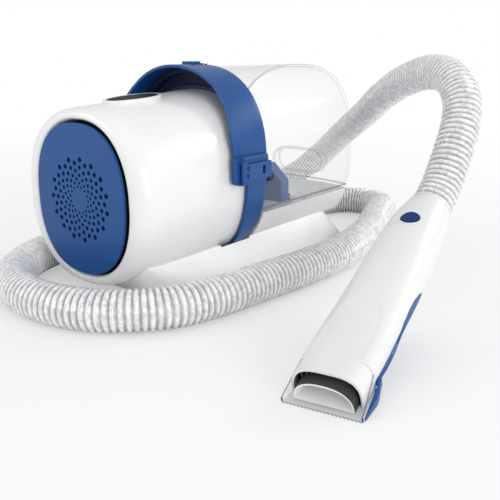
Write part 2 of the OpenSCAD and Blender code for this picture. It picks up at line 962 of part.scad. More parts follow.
module skirt(inset, z0, z1) {
    foot = [skirt_foot_half_w - inset, skirt_foot_front + inset, skirt_foot_rear - inset];
    top = [skirt_top_half_w - inset, skirt_top_front + inset, skirt_rear - inset];
    hull() {
        round_slab(foot[0], foot[1], foot[2], skirt_corner_foot - inset, z0);
        round_slab(top[0], top[1], top[2], skirt_corner_top - inset, z1 - eps);
    }
}

port_boss_d = 46;
plate_top = foot_h + plate_t;
duct_r = 20;
inlet_y = 120;
// Play of pieces that sit in the base and the housing
seat_gap = 0.15;

module base() {
    color("white")
        difference() {
            union() {
                difference() {
                    skirt(0, foot_h, skirt_h);
                    skirt(base_wall, foot_h - eps, skirt_h - base_wall);
                }
                // bosses for the bottom screws
                for (p = screw_places)
                    intersection() {
                        skirt(0.5, foot_h, skirt_h);
                        translate([p[0], p[1], plate_top])
                            cylinder(d = 10, h = skirt_h);
                    }
                // bowl under the canister
                canister_body(0, 0, skirt_h - base_wall, tray_h);
                // boss round the hose port
                intersection() {
                    rod_y(port_boss_d, 176, port_at[1] - 4, port_at[0], port_at[2]);
                    span([-50, 0, plate_top + move_gap], [50, 300, 100]);
                }
            }
            canister_body(base_wall, base_wall, skirt_h, tray_h + 1);
            // seats of the housing, the straps and the bulkhead
            housing_body();
            translate([0, lip_y, 0])
                house_front_cut();
            big_oval(0, -60, arch_rear);
            oval_plate(hood_half_w, hood_half_h, big_mid_h, big_power, -21, 0);
            // ways for the port, the duct and the screws
            rod_y(hose_d + 1 + 2 * seat_gap, inlet_y, port_at[1] + 10, port_at[0], port_at[2]);
            translate([0, inlet_y, 0])
                cylinder(r = duct_r + seat_gap, h = tray_h);
            for (p = screw_places)
                translate([p[0], p[1], 0])
                    cylinder(d = screw_shank_d + 2 * seat_gap, h = 14);
        }
}

// Volume in front of the full section, where the rolled rim overhangs the base
module house_front_cut() {
    along_y(-10, rim_depth + 1)
        translate([0, axis_h])
            polygon(oval(front_half_w, front_half_h, housing_power));
}

screw_shank_d = 3.6;
screw_places = [for (x = [-1, 1], y = [skirt_foot_front + 80, skirt_foot_rear - 75]) [x * 82, y]];

module base_plate() {
    color("gray")
        difference() {
            translate([0, 0, foot_h])
                linear_extrude(plate_t)
                    hull()
                        for (x = [-1, 1], y = [skirt_foot_front + 48, skirt_foot_rear - 48])
                            translate([x * (skirt_foot_half_w - 48), y])
                                circle(r = 42, $fn = 48);
            for (p = screw_places)
                translate([p[0], p[1], 0])
                    cylinder(d = screw_shank_d + 0.4, h = 20);
        }
}

module base_screws() {
    color("silver")
        for (p = screw_places)
            translate([p[0], p[1], foot_h - 1.5]) {
                cylinder(d = 7, h = 1.5);
                cylinder(d = screw_shank_d, h = 1.5 + plate_t + 6);
            }
}

// Outline of the foot ring, inset from its outer edge
module ring_outline(inset) {
    corner = 34;
    hull()
        for (x = [-1, 1], y = [skirt_foot_front + 20 + corner, skirt_foot_rear - 20 - corner])
            translate([x * (skirt_foot_half_w - 22 - corner), y])
                circle(r = corner - inset, $fn = 48);
}

module foot_ring() {
    color("black")
        linear_extrude(foot_h)
            difference() {
                ring_outline(0);
                ring_outline(foot_strip_w);
            }
}

// Elbow from the hose port up to the tray's inlet
module elbow(r) {
    rod_y(2 * r, inlet_y, duct_end_y, port_at[0], port_at[2]);
    translate([0, inlet_y, port_at[2]]) {
        cylinder(r = r, h = tray_h - port_at[2]);
        sphere(r = r);
    }
}

duct_end_y = 172;

module air_duct() {
    color("silver")
        difference() {
            elbow(duct_r);
            elbow(duct_r - 2);
            rod_y(2 * duct_r - 4, duct_end_y - 1, duct_end_y + 1, port_at[0], port_at[2]);
            translate([0, inlet_y, tray_h - 1])
                cylinder(r = duct_r - 2, h = 2);
        }
}

module hose_port() {
    color("white")
        difference() {
            rod_y(hose_d + 1, duct_end_y, port_at[1], port_at[0], port_at[2]);
            rod_y(hose_bore_d, duct_end_y - 1, port_at[1] + 1, port_at[0], port_at[2]);
        }
}

// ======== hose ========
function bend(a, b, c, d, t) =
    0.5 * (2 * b + (c - a) * t + (2 * a - 5 * b + 4 * c - d) * t * t + (3 * b - a - 3 * c + d) * t * t * t);
// The hose lies on the floor, so no point of its middle is lower than its radius
function on_floor(p) = [p[0], p[1], max(p[2], hose_d / 2)];
hose_last = len(hose_route) - 1;
hose_path = concat(
    [for (i = [0:hose_last - 1], t = [0, 0.5])
        on_floor(bend(hose_route[max(i - 1, 0)], hose_route[i], hose_route[i + 1],
            hose_route[min(i + 2, hose_last)], t))],
    [hose_route[hose_last]]);
function hand_dir() = [-sin(hand_yaw) * cos(hand_pitch), cos(hand_yaw) * cos(hand_pitch), sin(hand_pitch)];
function hose_way(i) =
    i == 0 ? [0, 1, 0] :
    i == len(hose_path) - 1 ? -hand_dir() :
    unit(hose_path[i + 1] - hose_path[i - 1]);

module hose() {
    sides = 10;
    color("lightgray")
        ring_skin([
            for (i = [0:len(hose_path) - 1])
                let (way = hose_way(i), side = unit(cross(way, [0, 0, 1])), lift = cross(side, way))
                [for (k = [0:sides - 1])
                    let (turn = -90 - 360 * k / sides)
                    hose_path[i] + hose_d / 2 * (cos(turn) * side + sin(turn) * lift)]]);
}

// ======== handpiece ========
tail_r = 22.6;
tail_mid_h = tail_r;

// The handpiece's own frame: mouth at the origin, tail along +Y, resting edge at z = 0
module at_hand() {
    translate(hand_tail_at)
        rotate([0, 0, hand_yaw])
            rotate([hand_pitch, 0, 0])
                translate([0, -hand_len, -tail_mid_h])
                    children();
}

head_floor = 0.8;
head_top = 26.5;
// Sections of the handpiece: distance from the mouth, half width, bottom, top, upper and lower power
hand_sections = [
    [head_len, hand_half_w - 0.2, head_floor, head_top, 3, 4.5],
    [head_len + 27, hand_half_w + 0.2, head_floor - 0.3, head_top + 1.2, 2.9, 4.5],
    [head_len + 67, hand_half_w - 0.5, head_floor - 0.3, head_top + 4.5, 2.75, 4.5],
    [tail_seam - 54, hand_half_w - 0.4, -2.5, 37.2, 2.6, 4],
    [tail_seam, hand_half_w - 1, -6, 45.4, 2.35, 3],
    [tail_seam + 21, hand_half_w - 1.2, -6, 46.8, 2.25, 2.4],
    [hand_len - 22, tail_r + 2.6, -3.2, 46.8, 2.1, 2.1],
    [hand_len, tail_r, 0, 2 * tail_r, 2, 2]];
function hand_ring(section, inset) =
    let (mid = (section[2] + section[3]) / 2, half_h = (section[3] - section[2]) / 2)
    [for (i = [0:hand_n - 1])
        let (turn = 360 * i / hand_n, c = cos(turn), s = sin(turn), power = s < 0 ? section[5] : section[4])
        [(section[1] - inset) * sign(c) * pow(abs(c), 2 / power), section[0],
            mid + (half_h - inset) * sign(s) * pow(abs(s), 2 / power)]];
module hand_tube(first, last) {
    picked = [for (i = [first:last]) hand_sections[i]];
    ring_tube(concat(
        [for (section = picked) hand_ring(section, 0)],
        [for (i = [len(picked) - 1:-1:0]) hand_ring(picked[i], hand_wall)]));
}

module hand_shell() {
    color("white")
        at_hand()
            hand_tube(0, 4);
}

button_y = tail_seam + 10.5;
button_top_h = 47;
button_dome_r = 34;
button_slope = 4;
well_floor_h = button_top_h - 11;

module hand_tail() {
    color("white")
        at_hand()
            difference() {
                union() {
                    hand_tube(4, 7);
                    // well under the button
                    intersection() {
                        translate([0, button_y, well_floor_h - 2])
                            cylinder(d = button_d + 5, h = 20);
                        ring_skin([for (i = [4:7]) hand_ring(hand_sections[i], 0.4)]);
                    }
                }
                translate([0, button_y, well_floor_h])
                    cylinder(d = button_d + 2 * move_gap, h = 30);
                translate([0, button_y, well_floor_h - 5])
                    cylinder(d = 4, h = 9);
            }
}

module push_button() {
    color("royalblue")
        at_hand()
            intersection() {
                translate([0, button_y, well_floor_h + button_travel + move_gap])
                    cylinder(d = button_d, h = 30);
                translate([0, button_y, button_top_h - button_dome_r])
                    rotate([90 + button_slope, 0, 0])
                        cylinder(r = button_dome_r, h = 60, center = true, $fn = 90);
            }
}

// Small push switch in the floor of the button's well
module button_switch() {
    color("black")
        at_hand()
            translate([0, button_y, well_floor_h - 5]) {
                cylinder(d = 9, h = 3);
                cylinder(d = 4, h = 5.2);
            }
}

// Blue blade under the handpiece: a thin sole that runs out under the grip, and a tip beside the mouth
keel_edge_h = 3.6;
keel_end = tail_seam - 40;
keel_lip = 1;

module hand_keel() {
    side = hand_half_w;
    tip_gap = 1.7;
    color("royalblue")
        at_hand()
            difference() {
                union() {
                    intersection() {
                        ring_skin([for (i = [0:4])
                            let (s = hand_sections[i], drop = i < 3 ? keel_t : i == 3 ? keel_t - 1 : 0)
                            hand_ring([i == 0 ? s[0] + 0.5 : s[0], s[1] + keel_lip, s[2] - drop, s[3], s[4], s[5]], 0)]);
                        translate([-60, 0, 0])
                            rotate([90, 0, 90])
                                linear_extrude(120)
                                    polygon([
                                        [head_len, -20], [head_len, keel_edge_h], [head_len + 27, keel_edge_h + 0.4],
                                        [head_len + 67, keel_edge_h - 0.4], [keel_end - 30, keel_edge_h - 2.4],
                                        [keel_end, -5], [keel_end, -20]]);
                    }
                    // sole under the head
                    hull() {
                        span([-side + 1, head_len + 4, -keel_t + 0.6], [side - 1, head_len + 5, -0.3]);
                        span([-side + 3, 16, -keel_t + 0.6], [side - 2, 17, -0.3]);
                    }
                    // tip beside the mouth
                    hull() {
                        span([side - 2, head_len + 6, -keel_t + 0.4], [side + 1.6, head_len + 7, keel_edge_h - 1]);
                        span([side + tip_gap, head_len + 0.2, -keel_t + 0.4], [side + tip_gap + 2, head_len + 1.2, keel_edge_h + 0.6]);
                    }
                    hull() {
                        span([side + tip_gap, head_len + 0.2, -keel_t + 0.4], [side + tip_gap + 2, head_len + 1.2, keel_edge_h + 0.6]);
                        span([side + tip_gap + 1.9, 2, 0.1], [side + tip_gap + 3.1, 3, 3.4]);
                    }
                }
                ring_skin([for (i = [0:4]) hand_ring(hand_sections[i], 0)]);
            }
}

module hose_cuff() {
    color("white")
        at_hand()
            difference() {
                rod_y(2 * (tail_r - hand_wall) - 1, hand_len - 18, hand_len, 0, tail_mid_h);
                rod_y(hose_bore_d, hand_len - 19, hand_len + 1, 0, tail_mid_h);
            }
}

// Outline with a flat bottom and an arched top
function dee(half_w, height, power) = [
    for (i = [0:24])
        let (turn = 180 * i / 24, c = cos(turn), s = sin(turn))
        [half_w * sign(c) * pow(abs(c), 2 / power), height * pow(abs(s), 2 / power)]];

module dee_slice(y, z, half_w, height, power) {
    along_y(y, y + eps)
        translate([0, z])
            polygon(dee(half_w, height, power));
}

head_mouth = 12;
head_wall = 2;

// The head's form, drawn in by an inset and run on past both of its ends
module head_form(inset, z) {
    half_w = hand_half_w - 0.2 - inset;
    height = head_top - z - inset;
    hull() {
        dee_slice(head_mouth - 3, z, half_w, height, 3.2);
        dee_slice(head_len + 2, z, half_w, height, 4);
    }
}

module head_slice(y0, y1) {
    span([-50, y0, -1], [50, y1, 60]);
}

module head_shell() {
    color("white")
        at_hand()
            difference() {
                intersection() {
                    head_form(0, head_floor);
                    head_slice(head_mouth, head_len - move_gap);
                }
                head_form(head_wall, head_floor + 1.2);
            }
}

// Scoop in the mouth: an arched lip with a sloping floor behind it
arch_front = 5;
arch_back = 29;
arch_wall = 1.2;

module arch_form(grow) {
    hull() {
        dee_slice(arch_front - grow, head_floor + 1.3 - grow, 23.4 + grow, 18 + 2 * grow, 2.4);
        dee_slice(arch_back + grow, head_floor + 1.3 - grow, 24 + grow, 19.5 + 2 * grow, 2.7);
    }
}

module mouth_arch() {
    floor_h = head_floor + 1.3 + arch_wall;
    color("white")
        at_hand()
            difference() {
                arch_form(0);
                hull() {
                    dee_slice(arch_front - 1, floor_h, 23.4 - arch_wall, 18 - 2 * arch_wall, 2.4);
                    dee_slice(arch_back - 4, floor_h, 20, 4, 3);
                }
            }
}

// Dark bars between the scoop and the roof of the head
module head_bars() {
    bar_pitch = 4;
    color("dimgray")
        at_hand()
            difference() {
                intersection() {
                    union() {
                        for (x = [-6:6])
                            span([x * bar_pitch - 0.7, head_mouth + 3, 0], [x * bar_pitch + 0.7, head_len - 4, 40]);
                        span([-40, head_len - 6, 0], [40, head_len - 4.6, 40]);
                    }
                    head_form(head_wall, head_floor + 1.2);
                }
                arch_form(0.05);
            }
}

// Clear tray round the head with a row of small teeth on its lower lip
guard_t = 1.4;

module guard_form(inset, z) {
    hull() {
        dee_slice(0.8, z, hand_half_w + 3.4 - inset, 22, 3);
        dee_slice(head_len, z, hand_half_w + 1.3 - inset, 28, 4);
    }
}

module toothed_guard() {
    reach = hand_half_w + 2;
    tooth_w = 2 * reach / (2 * guard_teeth - 1);
    color("lightcyan", 0.35)
        at_hand()
            difference() {
                union() {
                    difference() {
                        guard_form(0, 0);
                        guard_form(guard_t, head_floor - 0.1);
                        span([-50, head_len - eps, -1], [50, head_len + 4, 60]);
                    }
                    for (i = [0:guard_teeth - 1])
                        translate([-reach + 2 * i * tooth_w, 0, 0])
                            cube([tooth_w, 3, head_floor]);
                }
                // the side walls fall towards the mouth
                translate([-50, 0, 0])
                    rotate([90, 0, 90])
                        linear_extrude(100)
                            polygon([[-1, 3.6], [head_len + 4, 17], [head_len + 4, 60], [-1, 60]]);
            }
}

motor_housing();
intake_cover();
intake_frame();
foam_filter();
display_bezel();
display_lens();
control_board();
motor();
motor_mounts();
front_baffle();
rear_baffle();
fan_wheel();
heater_frame();
bulkhead();
seal_collar();
carry_arch();
strap_right();
strap_left();
bracket_right();
bracket_left();
latch_right();
latch_left();
latch_pins();
catch_tab();
catch_spring();
canister_hood();
canister_tray();
catch_hook();
pull_loop();
stop_block_right();
stop_block_left();
guide_studs();
tray_screws();
filter_pleats();
filter_caps();
base();
base_plate();
base_screws();
foot_ring();
air_duct();
hose_port();
hose();
hand_shell();
hand_tail();
hand_keel();
hose_cuff();
push_button();
button_switch();
head_shell();
mouth_arch();
head_bars();
toothed_guard();
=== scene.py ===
"""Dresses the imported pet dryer: corrugated hose, glossy shells, clear canister and grooming handpiece."""

import json
import math

import bpy
from mathutils import Matrix, Vector


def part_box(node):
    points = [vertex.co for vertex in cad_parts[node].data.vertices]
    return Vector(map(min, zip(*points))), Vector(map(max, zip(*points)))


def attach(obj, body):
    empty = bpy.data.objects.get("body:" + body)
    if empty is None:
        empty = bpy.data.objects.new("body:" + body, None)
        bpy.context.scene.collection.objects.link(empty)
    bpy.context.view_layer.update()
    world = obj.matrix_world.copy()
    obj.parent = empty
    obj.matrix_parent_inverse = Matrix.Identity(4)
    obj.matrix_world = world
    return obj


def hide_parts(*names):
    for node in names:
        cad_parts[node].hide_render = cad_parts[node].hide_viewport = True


bl_info = {
    "name": "Pet dryer pieces",
    "version": (1, 0, 0),
    "blender": (4, 5, 0),
    "location": "3D View > Sidebar > Dryer",
    "description": "Models the visible pieces of a pet dryer round its packed frame",
    "category": "Add Mesh",
}

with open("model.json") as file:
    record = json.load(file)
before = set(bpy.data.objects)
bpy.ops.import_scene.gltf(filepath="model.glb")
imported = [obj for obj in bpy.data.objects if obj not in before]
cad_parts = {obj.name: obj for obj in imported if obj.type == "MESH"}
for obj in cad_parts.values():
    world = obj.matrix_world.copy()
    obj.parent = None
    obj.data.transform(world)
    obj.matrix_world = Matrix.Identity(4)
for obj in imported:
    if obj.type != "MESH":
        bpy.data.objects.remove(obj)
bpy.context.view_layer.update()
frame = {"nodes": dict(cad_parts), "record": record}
MM = 0.001

HOUSING_LOW, HOUSING_HIGH = (Vector(corner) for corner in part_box("motor_housing"))

# The housing's oval at its front: half width and half height, height of its middle, and power of the curve.
FRONT_HALF = 0.091
FRONT_MIDDLE = 0.1005
HOUSING_POWER = 2.25

# Route of the hose's middle, in millimetres, from the port in the base to the handpiece's tail.
HOSE_ROUTE_MM = (
    (0, 200, 27), (0, 234, 25), (3, 268, 21), (10, 293, 20), (28, 311, 20), (53, 318, 20), (78, 311, 20),
    (96, 293, 20), (104, 266, 20), (120, 220, 20), (142, 162, 20), (164, 60, 20), (164, -20, 20),
    (156, -90, 20), (148, -152, 20), (131, -204, 20), (94, -242, 20), (45, -260, 20), (-6, -259, 20),
    (-52, -240, 20), (-84, -206, 20), (-107, -160, 20), (-118, -102, 20), (-120, -20, 20),
    (-120, 100, 20), (-122, 250, 20), (-110, 320, 29), (-89, 358, 51), (-54, 366, 81), (-6, 343, 117),
    (55, 300, 154), (107, 248, 183), (160, 202, 207), (212, 160, 220), (250, 127, 216), (274, 100, 196),
    (284, 76, 170), (287, 50, 141), (288, 24, 112), (286.6, -1.5, 90.9),
)
HOSE_ROUTE = [Vector(point) * MM for point in HOSE_ROUTE_MM]

# The handpiece's own frame: mouth at the origin, tail along +Y, resting edge at z = 0.
HAND_LENGTH = 267 * MM
HAND_TAIL_MIDDLE = 22.6 * MM
HAND_PITCH = math.radians(15)
HAND_YAW = math.radians(8.2)
HAND_FRAME = (
    Matrix.Translation(HOSE_ROUTE[-1])
    @ Matrix.Rotation(HAND_YAW, 4, "Z")
    @ Matrix.Rotation(HAND_PITCH, 4, "X")
    @ Matrix.Translation((0, -HAND_LENGTH, -HAND_TAIL_MIDDLE))
)

# Sections of the handpiece: distance from the mouth, half width, bottom, top, upper and lower power.
HAND_SECTIONS = (
    (33, 27.8, 0.8, 26.5, 3.0, 4.5), (60, 28.2, 0.5, 27.7, 2.9, 4.5), (100, 27.5, 0.5, 31, 2.75, 4.5),
    (150, 27.6, -2.5, 37.2, 2.6, 4), (204, 27, -6, 45.4, 2.35, 3), (225, 26.8, -6, 46.8, 2.25, 2.4),
    (245, 25.2, -3.2, 46.8, 2.1, 2.1), (267, 22.6, 0, 45.2, 2, 2),
)
HAND_SEAM = 204 * MM
BUTTON_PLACE = 214.5 * MM

# Rings of the hose's mesh from one rib to the next, and points round each ring.
RIB_RINGS = 8
HOSE_SIDES = 26


class DryerSizes(bpy.types.PropertyGroup):
    """Sizes that the dressed pieces add to the frame."""

    hose_diameter: bpy.props.FloatProperty(
        name="Hose diameter", description="Outer diameter of the corrugated hose",
        default=0.040, min=0.03, max=0.05, unit="LENGTH")
    rib_pitch: bpy.props.FloatProperty(
        name="Rib pitch", description="Distance from one rib of the hose to the next",
        default=0.0062, min=0.004, max=0.009, unit="LENGTH")
    rib_depth: bpy.props.FloatProperty(
        name="Rib depth", description="Depth of the grooves between the hose's ribs",
        default=0.0024, min=0.001, max=0.004, unit="LENGTH")
    rim_depth: bpy.props.FloatProperty(
        name="Rim depth", description="Depth of the housing's rolled front rim",
        default=0.024, min=0.018, max=0.03, unit="LENGTH")
    pin_diameter: bpy.props.FloatProperty(
        name="Pin diameter", description="Diameter of the bright pin beside the catch tab",
        default=0.0034, min=0.002, max=0.004, unit="LENGTH")
    panel_depth: bpy.props.FloatProperty(
        name="Panel depth", description="Depth of the shallow panel on top of the handpiece",
        default=0.0005, min=0.0, max=0.001, unit="LENGTH")


class DryerColours(bpy.types.PropertyGroup):
    """Colours of the main finishes."""

    shell: bpy.props.FloatVectorProperty(
        name="Shell", description="Colour of the glossy white shells", subtype="COLOR",
        default=(0.855, 0.855, 0.857), min=0, max=1)
    blue: bpy.props.FloatVectorProperty(
        name="Blue", description="Colour of the blue band, cover and keel", subtype="COLOR",
        default=(0.006, 0.072, 0.265), min=0, max=1)
    # the deep blue is darker than the band's blue: partly the bulkhead's own tone, partly painted shade for the
    # recess under the arch
    deep_blue: bpy.props.FloatVectorProperty(
        name="Deep blue", description="Colour of the bulkhead and collar", subtype="COLOR",
        default=(0.004, 0.018, 0.07), min=0, max=1)
    hose: bpy.props.FloatVectorProperty(
        name="Hose", description="Colour of the corrugated hose", subtype="COLOR",
        default=(0.84, 0.842, 0.85), min=0, max=1)
    clear: bpy.props.FloatVectorProperty(
        name="Clear", description="Tint of the clear plastic", subtype="COLOR",
        default=(0.8, 0.82, 0.84), min=0, max=1)


# ---------------------------------------------------------------- shapes


def mix(low, high, share):
    """The value at a share of the way from low to high."""
    return low + (high - low) * share


def oval(half_w, half_h, power, count):
    """Points of a superellipse, anticlockwise from +X."""
    points = []
    for step in range(count):
        turn = 2 * math.pi * step / count
        cosine, sine = math.cos(turn), math.sin(turn)
        points.append((
            half_w * math.copysign(abs(cosine) ** (2 / power), cosine),
            half_h * math.copysign(abs(sine) ** (2 / power), sine),
        ))
    return points


def ring_y(half_w, half_h, middle, power, y, count=160):
    """An oval ring across the Y axis."""
    return [Vector((x, y, middle + z)) for x, z in oval(half_w, half_h, power, count)]


def smooth_path(points, parts):
    """A smooth line through the points, with so many parts between two of them."""
    line = []
    last = len(points) - 1
    for i in range(last):
        a, b, c, d = points[max(i - 1, 0)], points[i], points[i + 1], points[min(i + 2, last)]
        for part in range(parts):
            t = part / parts
            line.append(0.5 * (
                2 * b + (c - a) * t + (2 * a - 5 * b + 4 * c - d) * t * t
                + (3 * b - a - 3 * c + d) * t * t * t))
    line.append(points[-1].copy())
    return line


def even_path(line, spacing):
    """The same line as points at an even distance."""
    lengths = [0.0]
    for a, b in zip(line, line[1:]):
        lengths.append(lengths[-1] + (b - a).length)
    count = max(2, round(lengths[-1] / spacing))
    out, place = [], 0
    for step in range(count + 1):
        want = lengths[-1] * step / count
        while place < len(line) - 2 and lengths[place + 1] < want:
            place += 1
        share = (want - lengths[place]) / max(1e-9, lengths[place + 1] - lengths[place])
        out.append(line[place].lerp(line[place + 1], min(1.0, share)))
    return out


def deselect():
    """Leaves edit mode and selects nothing."""
    if bpy.context.object and bpy.context.object.mode != "OBJECT":
        bpy.ops.object.mode_set(mode="OBJECT")
    bpy.ops.object.select_all(action="DESELECT")


def pick(piece):
    """Makes the piece the only one selected."""
    deselect()
    piece.select_set(True)
    bpy.context.view_layer.objects.active = piece


def outward(piece):
    """Turns the piece's faces outwards."""
    pick(piece)
    bpy.ops.object.mode_set(mode="EDIT")
    bpy.ops.mesh.select_all(action="SELECT")
    bpy.ops.mesh.normals_make_consistent(inside=False)
    bpy.ops.object.mode_set(mode="OBJECT")


def new_piece(name, points, faces):
    """An object of the given points and faces, in the scene."""
    mesh = bpy.data.meshes.new(name)
    mesh.from_pydata([tuple(p) for p in points], [], faces)
    mesh.update()
    piece = bpy.data.objects.new(name, mesh)
    bpy.context.scene.collection.objects.link(piece)
    return piece


def skin(name, rings, loop=False, caps=False):
    """Joins rings of equal count: a tube with a wall where loop is set, a capped solid where caps is set."""
    count = len(rings[0])
    faces = []
    for i in range(len(rings) if loop else len(rings) - 1):
        a, b = i * count, ((i + 1) % len(rings)) * count
        for j in range(count):
            k = (j + 1) % count
            faces.append((a + j, a + k, b + k, b + j))
    if caps:
        faces.append(tuple(reversed(range(count))))
        faces.append(tuple((len(rings) - 1) * count + j for j in range(count)))
    piece = new_piece(name, [p for ring in rings for p in ring], faces)
    outward(piece)
    return piece


def place_local(piece, matrix):
    """Moves the mesh itself, so that the object stays at the origin."""
    piece.data.transform(matrix)
    piece.data.update()
    return piece


def smooth(piece, degrees):
    """Shades the piece smooth, but for edges sharper than the angle."""
    pick(piece)
    bpy.ops.object.shade_smooth_by_angle(angle=math.radians(degrees))
    return piece


def apply_all(piece):
    """Applies the piece's modifiers."""
    pick(piece)
    for modifier in list(piece.modifiers):
        bpy.ops.object.modifier_apply(modifier=modifier.name)


def soften(piece, width, segments, edge_slot=-1):
    """Rounds the piece's edges, in the material of edge_slot where it is given."""
    bevel = piece.modifiers.new("round", "BEVEL")
    bevel.material = edge_slot
    bevel.width = width
    bevel.segments = segments
    bevel.limit_method = "ANGLE"
    bevel.angle_limit = math.radians(32)
    bevel.use_clamp_overlap = True
    apply_all(piece)
    smooth(piece, 40)
    even = piece.modifiers.new("even", "WEIGHTED_NORMAL")
    even.keep_sharp = True
    apply_all(piece)
    return piece


def cad_copy(node):
    """A merged copy of a CAD node's mesh, ready for its edges to be rounded."""
    source = frame["nodes"][node]
    copy = bpy.data.objects.new(node + "_form", source.data.copy())
    bpy.context.scene.collection.objects.link(copy)
    copy.data.materials.clear()
    pick(copy)
    bpy.ops.object.mode_set(mode="EDIT")
    bpy.ops.mesh.select_all(action="SELECT")
    bpy.ops.mesh.remove_doubles(threshold=2e-6)
    bpy.ops.mesh.dissolve_limited(angle_limit=math.radians(0.6))
    bpy.ops.object.mode_set(mode="OBJECT")
    if copy.data.has_custom_normals:
        bpy.ops.mesh.customdata_custom_splitnormals_clear()
    return copy


def body_of_node(node):
    """The body that the record puts the node in."""
    for body, members in frame["record"]["behaviour"]["bodies"].items():
        if node in members:
            return body
    raise RuntimeError("no body holds " + node)


def slot_of_node(node):
    """The material slot that the record gives the node."""
    for entry in frame["record"]["subparts"]:
        if entry["node"] == node:
            return entry["material_slot"]
    raise RuntimeError("no slot for " + node)


def finish_piece(piece, finish, node, replaces=True):
    """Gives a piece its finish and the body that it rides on."""
    if not piece.data.materials:
        piece.data.materials.append(finish)
    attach(piece, body_of_node(node))
    if replaces:
        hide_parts(node)
    return piece


def rounded_node(node, finish, width, segments, edge_shade_finish=None):
    """A softened copy of the CAD node that stands for it."""
    piece = cad_copy(node)
    piece.data.materials.append(finish)
    # where given, the rounded edges take their own finish, the painted shade of clear edges
    if edge_shade_finish:
        piece.data.materials.append(edge_shade_finish)
    soften(piece, width, segments, 1 if edge_shade_finish else -1)
    return finish_piece(piece, finish, node)


# ---------------------------------------------------------------- finishes


def shader(name):
    """A new material, its nodes and its main shader."""
    finish = bpy.data.materials.new(name)
    finish.use_nodes = True
    nodes = finish.node_tree.nodes
    return finish, nodes, finish.node_tree.links, nodes["Principled BSDF"]


def grain(nodes, links, main, scale, strength, distance=0.0002, detail=3.0):
    """A fine bump over the whole surface."""
    place = nodes.new("ShaderNodeTexCoord")
    noise = nodes.new("ShaderNodeTexNoise")
    noise.inputs["Scale"].default_value = scale
    noise.inputs["Detail"].default_value = detail
    bump = nodes.new("ShaderNodeBump")
    bump.inputs["Strength"].default_value = strength
    bump.inputs["Distance"].default_value = distance
    links.new(place.outputs["Object"], noise.inputs["Vector"])
    links.new(noise.outputs["Fac"], bump.inputs["Height"])
    links.new(bump.outputs["Normal"], main.inputs["Normal"])
    return place


def uneven_gloss(nodes, links, main, place, low, high, scale=22.0):
    """Roughness that drifts a little over the surface."""
    noise = nodes.new("ShaderNodeTexNoise")
    noise.inputs["Scale"].default_value = scale
    noise.inputs["Detail"].default_value = 4.0
    span = nodes.new("ShaderNodeMapRange")
    span.inputs["To Min"].default_value = low
    span.inputs["To Max"].default_value = high
    links.new(place.outputs["Object"], noise.inputs["Vector"])
    links.new(noise.outputs["Fac"], span.inputs["Value"])
    links.new(span.outputs["Result"], main.inputs["Roughness"])


def tinted(nodes, links, main, place, colour, share=0.04, scale=9.0):
    """A base colour that drifts a little, as moulded plastic does."""
    noise = nodes.new("ShaderNodeTexNoise")
    noise.inputs["Scale"].default_value = scale
    ramp = nodes.new("ShaderNodeValToRGB")
    ramp.color_ramp.elements[0].position = 0.35
    ramp.color_ramp.elements[1].position = 0.65
    ramp.color_ramp.elements[0].color = tuple(c * (1 - share) for c in colour) + (1,)
    ramp.color_ramp.elements[1].color = tuple(min(1, c * (1 + share / 2)) for c in colour) + (1,)
    links.new(place.outputs["Object"], noise.inputs["Vector"])
    links.new(noise.outputs["Fac"], ramp.inputs["Fac"])
    links.new(ramp.outputs["Color"], main.inputs["Base Color"])


def moulded(name, colour, low, high, coat=0.0, bump=0.03, bump_scale=900.0, gloss=0.5, ior=1.5):
    """Moulded plastic."""
    finish, nodes, links, main = shader(name)
    colour = tuple(colour)[:3]
    main.inputs["Specular IOR Level"].default_value = gloss
    main.inputs["IOR"].default_value = ior
    main.inputs["Base Color"].default_value = colour + (1,)
    main.inputs["Coat Weight"].default_value = coat
    main.inputs["Coat Roughness"].default_value = 0.06
    place = grain(nodes, links, main, bump_scale, bump)
    uneven_gloss(nodes, links, main, place, low, high)
    tinted(nodes, links, main, place, colour)
    return finish


def metal(name, colour, low, high, brushed=True):
    """Bare metal with fine lines along Y."""
    finish, nodes, links, main = shader(name)
    main.inputs["Metallic"].default_value = 1.0
    main.inputs["Base Color"].default_value = tuple(colour) + (1,)
    place = nodes.new("ShaderNodeTexCoord")
    spread = nodes.new("ShaderNodeMapping")
    spread.inputs["Scale"].default_value = (900, 40, 900) if brushed else (300, 300, 300)
    noise = nodes.new("ShaderNodeTexNoise")
    noise.inputs["Scale"].default_value = 1.0
    bump = nodes.new("ShaderNodeBump")
    bump.inputs["Strength"].default_value = 0.08
    bump.inputs["Distance"].default_value = 0.0001
    links.new(place.outputs["Object"], spread.inputs["Vector"])
    links.new(spread.outputs["Vector"], noise.inputs["Vector"])
    links.new(noise.outputs["Fac"], bump.inputs["Height"])
    links.new(bump.outputs["Normal"], main.inputs["Normal"])
    uneven_gloss(nodes, links, main, place, low, high, 60.0)
    return finish


def clear_plastic(name, colour, face_on, edge_on):
    """Clear plastic: nearly invisible face on, and denser where the wall turns away."""
    finish, nodes, links, main = shader(name)
    main.inputs["Base Color"].default_value = tuple(colour)[:3] + (1,)
    main.inputs["Roughness"].default_value = 0.05
    main.inputs["IOR"].default_value = 1.49
    weight = nodes.new("ShaderNodeLayerWeight")
    weight.inputs["Blend"].default_value = 0.35
    curve = nodes.new("ShaderNodeMath")
    curve.operation = "POWER"
    curve.inputs[1].default_value = 2.2
    span = nodes.new("ShaderNodeMapRange")
    span.inputs["To Min"].default_value = face_on
    span.inputs["To Max"].default_value = edge_on
    links.new(weight.outputs["Facing"], curve.inputs[0])
    links.new(curve.outputs["Value"], span.inputs["Value"])
    links.new(span.outputs["Result"], main.inputs["Alpha"])
    grain(nodes, links, main, 60.0, 0.02, 0.0004)
    return finish


